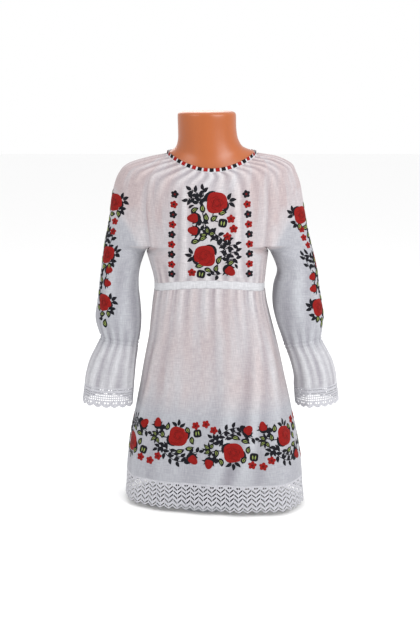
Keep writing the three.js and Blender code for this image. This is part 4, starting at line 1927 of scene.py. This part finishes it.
@dataclass
class Skirt:
    """The skirt's front and back with their lace."""

    cloth: Cloth
    front_grid: tuple[int, int] = (270, 120)
    back_grid: tuple[int, int] = (200, 90)
    points: int = 27
    columns_per_point: int = 12
    zigzag_mm: float = 3.6
    lace_mm: float = 51.0
    lace_rows: tuple[float, ...] = (
        0, 3.0, 5.4, 9.0, 12.0, 17.0, 20.0, 25.2, 28.2, 33.4, 36.4, 41.6, 44.4, 47.4)
    hole_rows: tuple[int, ...] = (3, 5, 7, 9, 11)
    heading_row: int = 1

    def build(self) -> dict[str, Piece]:
        """Makes both halves of the cloth.

        Returns:
            The front and the back by name.
        """
        pieces = {}
        for side, middle, grid in (("front", -90, self.front_grid), ("back", 90, self.back_grid)):
            v_values = np.linspace(WAIST_BOTTOM, HEM_SEAM, grid[1])
            wall = skirt_panel(middle).wall(np.linspace(0, 1, grid[0]), v_values)
            pieces[side] = self.cloth.finish(
                wall, f"skirt_{side}_cloth", f"skirt_{side}", VOILE, flat=(0.42, 0.36), area=0.125)
        return pieces

    def even_places(self, panel: Panel, count: int) -> Array:
        """Places across a panel that stand evenly apart along the hem.

        Args:
            panel: The panel.
            count: How many places there are.

        Returns:
            The places, from 0 to 1.
        """
        fine = np.linspace(0, 1, 4 * count)
        hem = panel.base(fine, np.full_like(fine, HEM_SEAM))
        length = run_length(hem)
        return np.interp(np.linspace(0, length[-1], count), length, fine)

    def build_lace(self) -> dict[str, Piece]:
        """Makes the hem lace: rows of zigzag holes above a pointed edge.

        Returns:
            The front and the back by name.
        """
        pieces = {}
        columns = self.points * self.columns_per_point
        heights = np.array(self.lace_rows)
        rows_per_mm = (LACE_TIP - HEM_SEAM) / self.lace_mm
        phase = np.arange(columns + 1) / self.columns_per_point
        zigzag = self.zigzag_mm * (np.abs((phase % 1.0) * 2 - 1) * 2 - 1)
        share = np.concatenate([[0, 0, 0.3], np.ones(len(heights) - 3)])[:, None]
        keep = np.ones((len(heights) - 1, columns), dtype=bool)
        cell = np.arange(columns) % self.columns_per_point
        for row in self.hole_rows:
            keep[row, cell % (self.columns_per_point // 2) != 0] = False
        keep[self.heading_row, ((cell < 3) | (cell > 8)) & (cell % 3 != 0)] = False
        for side, middle in (("front", -90), ("back", 90)):
            panel = skirt_panel(middle)
            wall = panel.wall(
                self.even_places(panel, columns + 1), HEM_SEAM + rows_per_mm * heights, keep,
                share * zigzag[None, :] * rows_per_mm)
            pieces[side] = self.cloth.finish(
                wall, f"hem_lace_{side}_net", f"hem_lace_{side}", CROCHET, flat=(0.42, 0.051),
                thickness=self.cloth.lace_thickness, backing=Backing.NOTHING)
        return pieces


@dataclass
class Bands:
    """The neckband and the waistband, with the neckband's squares."""

    cloth: Cloth
    thickness: float = 1.2
    grid: tuple[int, int] = (360, 9)
    low_crown: float = 0.3
    crown_mm: float = 0.9
    ripple_mm: float = 0.2
    ripples: int = 60
    square_pitch: float = 10.3
    square_size: tuple[float, float, float] = (6.8, 6.2, 0.8)
    square_lift: float = 0.15

    def ring_panel(self, point_at: SurfaceMap, last: float) -> Panel:
        """A band that runs right round."""
        return Panel(lambda u, v: point_at(-180 + 360 * u, v), lambda u, v: 0.5 + 0 * u, last)

    def build(self) -> dict[str, Piece]:
        """Makes both bands, slightly crowned across their height.

        Returns:
            The bands by name.
        """
        pieces = {}
        bands = (
            ("neckband", yoke_point, 0, NECKLINE_ROW, UNDERARM_ROW, (0.44, 0.010)),
            ("waistband", body_point, WAIST_TOP, WAIST_BOTTOM, LACE_TIP, (0.55, 0.014)),
        )
        for name, point_at, top, low, last, flat in bands:
            panel = self.ring_panel(point_at, last)
            panel.relief = self.crown(top, low, name == "waistband")
            u_values = np.linspace(0, 1, self.grid[0], endpoint=False)
            wall = panel.wall(u_values, np.linspace(top, low, self.grid[1]), closed=True)
            # A flat fold everywhere, so the bands get no painted valley shade.
            wall.attributes["fold"] = np.ones(len(wall.points))
            pieces[name] = self.cloth.finish(
                wall, f"{name}_cloth", name, VOILE, flat=flat, thickness=self.thickness,
                backing=Backing.NOTHING)
        return pieces

    def crown(self, top: float, low: float, puckered: bool) -> SurfaceMap:
        """What stands out of a band: a low crown, and puckers on the waistband.

        Args:
            top: The band's first row.
            low: Its last row.
            puckered: Whether it has puckers.

        Returns:
            The height over the ring at each place.
        """

        def relief(u: Array, v: Array) -> Array:
            """The band's height over its ring.

            Args:
                u: Places across.
                v: Rows down.

            Returns:
                Heights in mm.
            """
            share = np.clip((v - top) / (low - top), 0, 1)
            ripple = self.ripple_mm * pucker(-180 + 360 * u, self.ripples, 0.4) if puckered else 0 * u
            return self.low_crown + self.crown_mm * np.sin(math.pi * share) ** 0.5 + ripple

        return relief

    def squares(self) -> Piece:
        """Sews black and red squares round the neckband, black at the front's middle.

        Returns:
            The squares as one piece.
        """
        panel = self.ring_panel(yoke_point, UNDERARM_ROW)
        panel.relief = self.crown(0, NECKLINE_ROW, False)
        u_fine = np.linspace(0, 1, 2001)
        middle, _ = panel.points(u_fine, np.full_like(u_fine, 0.5))
        length = run_length(middle)
        count = 2 * round(length[-1] / self.square_pitch / 2)
        pitch = length[-1] / count
        front = float(np.interp(0.25, u_fine, length))
        guide = RepeatGuide()
        for number in range(count):
            s = (front + number * pitch) % length[-1]
            u = np.interp([s, s + 0.5], length, u_fine)
            place, normal = panel.points(u, np.array([0.5, 0.5]), self.square_lift)
            guide.add(place[0], normal[0], place[1] - place[0], number % 2)
        return guide.repeat(
            "neckband_squares", self.square_size,
            (Floss.BLACK.value.material(), Floss.RED.value.material()))


# ---------- repeats
@dataclass
class RepeatGuide:
    """Places where a small block repeats, which a node tree turns into blocks."""

    places: list[Array] = field(default_factory=list)
    normals: list[Array] = field(default_factory=list)
    ways: list[Array] = field(default_factory=list)
    kinds: list[int] = field(default_factory=list)

    def add(self, place: Array, normal: Array, way: Array, kind: int) -> None:
        """Adds a place with its outward direction, its run and its kind.

        Args:
            place: The point in mm.
            normal: Its outward direction.
            way: The direction of the run.
            kind: Which material it gets.
        """
        self.places.append(place)
        self.normals.append(normal)
        self.ways.append(unit(way))
        self.kinds.append(kind)

    def repeat(self, name: str, size: tuple[float, float, float],
               materials: Sequence[Material]) -> Piece:
        """Makes the blocks as one plain mesh.

        Args:
            name: The piece's name.
            size: A block's length along the run, its width and its height, in mm.
            materials: One material for each kind of place.

        Returns:
            The piece, riding on the part.
        """
        mesh = bpy.data.meshes.new(f"{name}_guide")
        mesh.from_pydata((np.array(self.places) * MM).tolist(), [], [])
        for key, values in (("outwards", self.normals), ("run", self.ways)):
            attribute = mesh.attributes.new(key, "FLOAT_VECTOR", "POINT")
            attribute.data.foreach_set("vector", np.array(values, dtype=np.float32).ravel())
        kinds = mesh.attributes.new("kind", "INT", "POINT")
        kinds.data.foreach_set("value", np.array(self.kinds, dtype=np.int32))
        guide = linked(f"{name}_guide", mesh)
        modifier = guide.modifiers.new("repeat", "NODES")
        modifier.node_group = repeat_tree(name, materials)
        values = dict(zip(("Length", "Width", "Height"), (part * MM for part in size)))
        for item in modifier.node_group.interface.items_tree:
            if item.item_type == "SOCKET" and item.in_out == "INPUT" and item.name in values:
                modifier[item.identifier] = values[item.name]
        bpy.context.view_layer.update()
        ready = guide.evaluated_get(bpy.context.evaluated_depsgraph_get())
        plain = bpy.data.meshes.new_from_object(ready)
        plain.name = name
        piece = linked(name, plain)
        bpy.data.objects.remove(guide, do_unlink=True)
        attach(piece, "root")
        LOG.info("%s: %d places", name, len(self.places))
        return piece


def repeat_tree(name: str, materials: Sequence[Material]) -> Tree:
    """A node tree that puts a rounded block on every point, turned to its directions.

    Args:
        name: The tree's name.
        materials: One material for each kind of point.

    Returns:
        The tree, with Length, Width and Height inputs.
    """
    tree = bpy.data.node_groups.new(f"{name}_repeat", "GeometryNodeTree")
    tree.interface.new_socket("Geometry", in_out="INPUT", socket_type="NodeSocketGeometry")
    for label in ("Length", "Width", "Height"):
        tree.interface.new_socket(label, in_out="INPUT", socket_type="NodeSocketFloat")
    tree.interface.new_socket("Geometry", in_out="OUTPUT", socket_type="NodeSocketGeometry")
    entry = add_node(tree, "NodeGroupInput")
    size = add_node(tree, "ShaderNodeCombineXYZ", inputs={
        "X": entry.outputs["Length"], "Y": entry.outputs["Width"], "Z": entry.outputs["Height"]})
    block = add_node(tree, "GeometryNodeMeshCube", inputs={"Size": size.outputs[0]})
    outwards, run = (
        add_node(tree, "GeometryNodeInputNamedAttribute", {"data_type": "FLOAT_VECTOR"}, {"Name": name})
        for name in ("outwards", "run"))
    upright = add_node(tree, "FunctionNodeAlignRotationToVector", {"axis": "Z"}, {
        "Vector": outwards.outputs["Attribute"]})
    aligned = add_node(tree, "FunctionNodeAlignRotationToVector", {"axis": "X", "pivot_axis": "Z"}, {
        "Rotation": upright.outputs["Rotation"], "Vector": run.outputs["Attribute"]})
    copies = add_node(tree, "GeometryNodeInstanceOnPoints", inputs={
        "Points": entry.outputs["Geometry"], "Instance": block.outputs["Mesh"],
        "Rotation": aligned.outputs["Rotation"]})
    real = add_node(tree, "GeometryNodeRealizeInstances", inputs={"Geometry": copies.outputs["Instances"]})
    result = real.outputs["Geometry"]
    kind = add_node(tree, "GeometryNodeInputNamedAttribute", {"data_type": "INT"}, {"Name": "kind"})
    for number, material in enumerate(materials):
        same = add_node(tree, "FunctionNodeCompare", {"data_type": "INT", "operation": "EQUAL"}, {
            2: kind.outputs["Attribute"], 3: number})
        painted = add_node(tree, "GeometryNodeSetMaterial", inputs={
            "Geometry": result, "Selection": same.outputs["Result"], "Material": material})
        result = painted.outputs["Geometry"]
    leave = add_node(tree, "NodeGroupOutput")
    tree.links.new(result, leave.inputs["Geometry"])
    return tree


# ---------- embroidered fields
SLEEVE_FACING = {
    "left": ((560, -22), (467, -32), (378, -50), (330, -50)),
    "right": ((560, -22), (534, -24), (452, -26), (370, -32), (330, -34)),
}
SLEEVE_BAND = {
    "left": (
        (556, 0, "rose"), (523, 4, "flower"), (505, 3, "flower"), (488, -6, "spray"), (464, 0, "rose"),
        (438, 9, "bud"), (415, 8, "bud"), (380, 0, "rose"), (343, 4, "end"),
    ),
    "right": (
        (534, 0, "rose"), (509, -5, "flower"), (494, -4, "flower"), (480, 2, "flower"), (452, 26, "rose"),
        (450, -6, "spray"), (425, -6, "bud"), (404, -5, "bud"), (370, 1, "rose"), (339, 6, "end"),
    ),
}


@dataclass
class Embroidery:
    """The rose embroidery of the bodice, the skirt band and the sleeves."""

    bodice_front: Piece
    skirt_pieces: Sequence[Piece]
    sleeve_pieces: dict[str, Piece]
    panel_x: float = 6.0
    columns: tuple[tuple[int, float], ...] = ((-1, -55.0), (1, 66.0))
    column_flowers: int = 9
    column_top_z: float = 575.0
    column_pitch: float = 17.2
    column_lean: float = 6.5
    front_reach: float = 200.0
    skirt_roses: int = 8
    skirt_start_angle: float = -75.5
    skirt_low_z: float = 120.0
    skirt_high_z: float = 145.0
    skirt_reach: float = 30.0
    sleeve_radius: float = 38.0
    sleeve_reach: float = 90.0
    sleeve_forward: float = 5.0
    shoulder: tuple[tuple[float, float], ...] = ((560.0, 118.0), (520.0, 126.0), (480.0, 138.0))

    def declare(self, piece: Piece) -> None:
        """Rides the embroidery on the part.

        Args:
            piece: The embroidery.
        """
        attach(piece, "root")
        LOG.info("%s: %d faces", piece.name, len(piece.data.polygons))

    def bodice(self) -> None:
        """Sews the centre panel and the two columns of small flowers."""
        cloth = Stitching()
        draw = Motifs(cloth)
        self.upper_half(draw, self.panel_x)
        self.lower_half(draw, self.panel_x)
        for side, top in self.columns:
            for number in range(self.column_flowers):
                lean = side * self.column_lean * math.sin(math.pi * min(number, 6) / 12)
                dark = number % 2 == 0
                petals, heart = (Floss.BLACK, Floss.WINE) if dark else (Floss.RED, Floss.BLACK)
                z = self.column_top_z - self.column_pitch * number
                draw.blossom(top + lean, z, 6.8, petals, heart, 90 + 14 * side)
        surface = Surface([self.bodice_front])

        def drop(flat: Array) -> tuple[Array, Array]:
            """Drops flat points from in front."""
            origins = joined(flat[:, 0], -self.front_reach, flat[:, 1])
            return surface.hit(origins, np.tile([0.0, 1.0, 0.0], (len(flat), 1)))

        self.declare(cloth.sew("bodice_embroidery", drop))

    def upper_half(self, draw: Motifs, x: float) -> None:
        """Draws the centre panel's upper rose with its sprays, leaves, buds and flowers.

        Args:
            draw: The motifs.
            x: The panel's middle.
        """
        draw.spray([(x - 16, 556), (x - 22, 566), (x - 30, 570), (x - 38, 568)], 6, 9.5)
        draw.spray([(x - 14, 560), (x - 17, 570), (x - 24, 578), (x - 32, 583)], 6, 9.5)
        draw.spray([(x - 8, 566), (x - 12, 574), (x - 13, 582)], 3, 9.0)
        draw.leaf(x - 33, 555, 30, 11, 2.2, green=False)
        draw.stem([(x - 14, 545), (x - 12, 536), (x - 11, 528), (x - 6, 518)])
        draw.stem([(x + 4, 545), (x + 2, 533), (x + 12, 530)])
        draw.spray([(x - 18, 535), (x - 13, 526), (x - 11, 518)], 4, 8.5)
        draw.sprig(x + 28, 563, 14, 10.5, 56)
        draw.leaf(x - 13, 553, 98, 16, 4.8)
        draw.leaf(x - 27, 549, 32, 15, 4.2)
        draw.leaf(x - 7, 538, 100, 15, 4.7)
        draw.leaf(x + 6, 535, 40, 15, 4.6)
        draw.leaf(x + 20, 544, 12, 15, 4.8)
        draw.rose(x + 10, 562, 18.6)
        draw.round_leaf(x + 20, 527, 80)
        draw.bud(x - 28, 536, 184, 9.6)
        draw.bud(x - 28, 514.5, 172, 9.0)
        for dx, z in ((34, 534), (38.5, 517), (28, 504)):
            draw.blossom(x + dx, z, 7.4)

    def lower_half(self, draw: Motifs, x: float) -> None:
        """Draws the centre panel's lower rose with the cluster of leaves above it.

        Args:
            draw: The motifs.
            x: The panel's middle.
        """
        draw.stem([(x - 6, 509), (x - 14, 505), (x - 22, 498)])
        draw.spray([(x - 4, 508), (x + 5, 510), (x + 12, 506), (x + 19, 500)], 5, 9.0)
        draw.fan(x - 5, 507, 92, 14, 38, 5)
        draw.leaf(x - 15, 506, 152, 10, 2.2, green=False)
        draw.leaf(x - 13, 501, 20, 15, 4.3)
        draw.leaf(x - 26, 495, 14, 16, 4.7)
        draw.hook(x + 2, 494, 20, 8.0)
        draw.spray([(x + 14, 484), (x + 18, 491), (x + 28, 496)], 4, 9.5)
        draw.spray([(x + 15, 478), (x + 24, 482), (x + 32, 488), (x + 41, 490)], 5, 9.5)
        draw.spray([(x + 17, 466), (x + 25, 470), (x + 33, 475), (x + 42, 478)], 5, 9.5)
        draw.spray([(x + 24, 458), (x + 31, 464), (x + 42, 466)], 3, 9.0)
        draw.sprig(x - 29, 472, 172, 10.5, 56)
        draw.leaf(x + 15, 464, 64, 17, 4.6)
        draw.leaf(x + 10, 449, 76, 15, 4.4)
        draw.leaf(x - 5, 445, 332, 15, 4.5)
        draw.leaf(x - 19, 453, 8, 16, 4.8)
        draw.leaf(x + 35, 458, 24, 15, 4.4)
        draw.leaf(x + 43, 452, 296, 10, 2.2, green=False)
        Motifs(draw.cloth, -1).rose(x - 10.5, 471.5, 19.2, 180)
        draw.spray([(x + 18, 440), (x + 10, 437), (x + 2, 438)], 3, 7.5)
        draw.bud(x + 31, 445.5, 318, 9.8)
        draw.blossom(x - 32.5, 441.5, 7.4)
        draw.round_leaf(x - 17, 438.5, 80)

    def skirt(self) -> None:
        """Sews the band of roses that runs right round the skirt, up and down by turns."""
        middle_z = (self.skirt_low_z + self.skirt_high_z) / 2
        heights = BODY.rows[:, BODY.columns.index("side_z")]
        place = float(np.interp(-middle_z, -heights, np.arange(BODY.last + 1)))
        angles = np.linspace(-180, 180, 3601)
        ring = body_point(angles, np.full_like(angles, place))
        length = run_length(ring)
        pitch = length[-1] / self.skirt_roses
        start = float(np.interp(self.skirt_start_angle, angles, length))
        surface = Surface(self.skirt_pieces)

        def drop(flat: Array) -> tuple[Array, Array]:
            """Wraps flat points round the skirt.

            Args:
                flat: Points along and up the band.

            Returns:
                The points on the cloth and its directions.
            """
            around = np.interp(flat[:, 0] % length[-1], length, angles)
            rows = np.interp(-flat[:, 1], -heights, np.arange(BODY.last + 1))
            base = body_point(around, rows)
            step = body_point(around + 0.5, rows) - body_point(around - 0.5, rows)
            outward = unit(np.cross(step, [0.0, 0.0, 1.0]))
            return surface.hit(base + outward * self.skirt_reach, -outward)

        cloth = Stitching()
        for number in range(self.skirt_roses):
            is_low = number % 2 == 0
            height = self.skirt_low_z if is_low else self.skirt_high_z
            self.skirt_unit(Motifs(cloth, 1 if is_low else -1), start + number * pitch, height)
        self.declare(cloth.sew("skirt_embroidery", drop))

    def skirt_unit(self, draw: Motifs, x: float, y: float) -> None:
        """Draws one rose of the skirt's band with its leaves, buds and flowers.

        Args:
            draw: The motifs.
            x: The rose's place round the skirt.
            y: Its height.
        """
        up = draw.flip

        def at(dx: float, dy: float) -> tuple[float, float]:
            """A place beside the rose, mirrored on every other one."""
            return x + dx, y + up * dy

        draw.stem([at(-18, 3), at(-28, 3), at(-38, 0), at(-43, -10)])
        draw.spray([at(-32, 15), at(-27, 27), at(-16, 38), at(-3, 45), at(12, 46)], 9, 10.0)
        draw.spray([at(-14, 24), at(-8, 32), at(4, 37), at(18, 38)], 6, 9.0)
        draw.spray([at(-20, 12), at(-26, 20), at(-36, 26)], 4, 9.5)
        draw.hook(*at(-22, 9), 20, 8.0)
        draw.sprig(*at(-2, -17), -90, 10.5, 60)
        draw.sprig(*at(-27, -8), 200, 8.5, 50)
        draw.leaf(*at(5, 26), -18, 17, 4.7)
        draw.leaf(*at(22, 20), -14, 16, 4.4)
        draw.leaf(*at(27, 6), 76, 15, 4.4)
        draw.leaf(*at(18, -13), 54, 15, 4.5)
        draw.rose(*at(0, 0), 18.8, 8)
        draw.round_leaf(*at(35, -8), 80)
        draw.bud(*at(27, 40), 48, 9.4)
        draw.spray([at(20, 30), at(29, 29), at(38, 26)], 3, 8.5)
        draw.fan(*at(-40, 4), 158, 14, 36, 6)
        draw.leaf(*at(-31, -2), 268, 15, 4.3)
        draw.leaf(*at(-23, -18), 284, 16, 4.6)
        draw.leaf(*at(-33, -15), 150, 9, 2.2, green=False)
        draw.bud(*at(-43, -20), 262, 9.0)
        for dx, dy in ((31, -22), (50, -25.5), (65, -15)):
            draw.blossom(*at(dx, dy), 7.6, angle=78)

    def sleeve(self, side: str, rows: RingTable, outward: int) -> None:
        """Sews a band of roses down the outside of a sleeve.

        Args:
            side: The sleeve's name.
            rows: The sleeve's rings.
            outward: 1 on the right and -1 on the left.
        """
        surface = Surface([self.sleeve_pieces[side]])
        rings = [(row[0], row[1]) for row in rows.rows[1:ELASTIC_ROW + 1]]
        heights, centres = np.array([*self.shoulder, *rings]).T
        facing_z, facing = np.array(SLEEVE_FACING[side]).T

        def drop(flat: Array) -> tuple[Array, Array]:
            """Wraps flat points round the sleeve's outside.

            Args:
                flat: Points across and up the band.

            Returns:
                The points on the cloth and its directions.
            """
            front = np.interp(-flat[:, 1], -facing_z, facing)
            turn = np.radians(front) + outward * flat[:, 0] / self.sleeve_radius
            centre = np.interp(-flat[:, 1], -heights, centres) * outward
            way = joined(-outward * np.cos(turn), -np.sin(turn), 0 * turn)
            hub = joined(centre, -self.sleeve_forward, flat[:, 1])
            return surface.hit(hub - way * self.sleeve_reach, way)

        cloth = Stitching()
        for z, offset, kind in SLEEVE_BAND[side]:
            draw = Motifs(cloth)
            self.sleeve_motif(draw, kind, offset, z, -outward)
        self.declare(cloth.sew(f"sleeve_{side}_embroidery", drop))

    def sleeve_motif(self, draw: Motifs, kind: str, x: float, z: float, inner: int) -> None:
        """Draws one motif of a sleeve's band.

        Args:
            draw: The motifs.
            kind: Which motif it is.
            x: Its place across the band.
            z: Its height.
            inner: The side where the front lies, 1 for the viewer's right.
        """
        if kind == "rose":
            draw.sprig(x + 14 * inner, z + 3, 90 - 62 * inner, 10.0, 54)
            draw.sprig(x + 10 * inner, z - 12, 90 - 130 * inner, 9.0, 50)
            for dx, dz, tilt in ((-15, 15, 62), (-16, -12, -58), (9, -20, -78), (-3, -22, 12)):
                draw.leaf(x + dx * inner, z + dz, 90 + (tilt - 90) * inner, 14, 4.4)
            draw.rose(x, z, 15.8, 8)
        elif kind == "flower":
            draw.blossom(x, z, 6.4)
            draw.leaf(x - 14 * inner, z + 3, 90 + 38 * inner, 14, 4.0)
            draw.sprig(x - 9 * inner, z - 5, 90 + 84 * inner, 9.0, 46)
        elif kind == "bud":
            draw.bud(x, z, 90 - 96 * inner, 8.0)
            draw.leaf(x - 14 * inner, z + 5, 90 + 24 * inner, 14, 4.2)
            draw.sprig(x - 10 * inner, z - 6, 90 + 70 * inner, 9.5, 48)
        elif kind == "spray":
            draw.spray([(x - 10 * inner, z - 15), (x - 7 * inner, z), (x - 1 * inner, z + 14)], 6, 9.5)
            draw.leaf(x - 18 * inner, z + 2, 90 - 8 * inner, 14, 4.2)
            draw.spray([(x + 4 * inner, z - 14), (x + 8 * inner, z), (x + 10 * inner, z + 12)], 4, 8.5)
        else:
            draw.leaf(x, z, 86, 17, 4.8)
            draw.sprig(x - 3 * inner, z + 9, 90 + 58 * inner, 9.0, 46)


# ---------- studio
@dataclass(frozen=True)
class Lamp:
    """A soft square lamp, with its size and place in metres and its power in watts."""

    name: str
    place: tuple[float, float, float]
    size: float
    watts: float

    def hang(self, target: tuple[float, float, float]) -> None:
        """Hangs the lamp so that it faces a place.

        Args:
            target: The place, in metres.
        """
        light = bpy.data.lights.new(self.name, "AREA")
        light.size = self.size
        light.energy = self.watts
        lamp = linked(self.name, light)
        lamp.location = self.place
        aim = Vector(target) - Vector(self.place)
        lamp.rotation_euler = aim.to_track_quat("-Z", "Y").to_euler()


@dataclass
class Studio:
    """The camera, the floor and the lights."""

    camera_place: tuple[float, float, float] = (0.0045, -1.900, 0.788)
    pitch_down: float = 13.0
    lens: float = 61.9
    sensor_width: float = 36.0
    floor_half: float = 8.0
    target: tuple[float, float, float] = (0.0, 0.0, 0.35)
    lamps: tuple[Lamp, ...] = (
        Lamp("key", (1.0, -1.0, 1.35), 0.95, 17.5),
        Lamp("fill", (-0.9, -0.75, 1.3), 0.6, 4),
        Lamp("back", (-0.3, 1.5, 1.4), 1.0, 8),
        Lamp("top", (0.1, 0.2, 2.2), 1.2, 4),
    )

    def build(self) -> None:
        """Sets the studio up."""
        camera = bpy.data.cameras.new("camera")
        camera.lens = self.lens
        camera.sensor_width = self.sensor_width
        viewer = linked("camera", camera)
        viewer.location = self.camera_place
        viewer.rotation_euler = (math.radians(90 - self.pitch_down), 0.0, 0.0)
        bpy.context.scene.camera = viewer
        self.floor()
        for lamp in self.lamps:
            lamp.hang(self.target)
        world = bpy.data.worlds.new("studio")
        world.use_nodes = True
        background = world.node_tree.nodes["Background"]
        background.inputs["Color"].default_value = WHITE
        background.inputs["Strength"].default_value = 1.0
        bpy.context.scene.world = world
        bpy.context.scene.view_settings.view_transform = "Standard"

    def floor(self) -> None:
        """Lays a pale floor."""
        half = self.floor_half
        mesh = bpy.data.meshes.new("floor")
        mesh.from_pydata(
            [(-half, -half, 0.0), (half, -half, 0.0), (half, half, 0.0), (-half, half, 0.0)],
            [], [(0, 1, 2, 3)])
        mesh.materials.append(StudioPaper().material())
        linked("floor", mesh)


def main() -> None:
    """Builds the dress on its form, piece by piece."""
    logging.basicConfig(level=logging.INFO, format="%(message)s")
    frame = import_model()
    Studio().build()
    form = DressForm().build()
    Stand().dress(frame)
    cloth = Cloth(form)
    bodice = Bodice(cloth).build()
    sleeves = {}
    sides = (("left", SLEEVE_LEFT, -1), ("right", SLEEVE_RIGHT, 1))
    for side, rows, outward in sides:
        sleeve = Sleeve(cloth, side, rows, outward)
        sleeves[side] = sleeve.build()
        sleeve.build_lace()
    skirt = Skirt(cloth)
    skirt_pieces = skirt.build()
    skirt.build_lace()
    bands = Bands(cloth)
    bands.build()
    bands.squares()
    embroidery = Embroidery(bodice["front"], list(skirt_pieces.values()), sleeves)
    embroidery.bodice()
    embroidery.skirt()
    for side, rows, outward in sides:
        embroidery.sleeve(side, rows, outward)


if __name__ == "__main__":
    main()
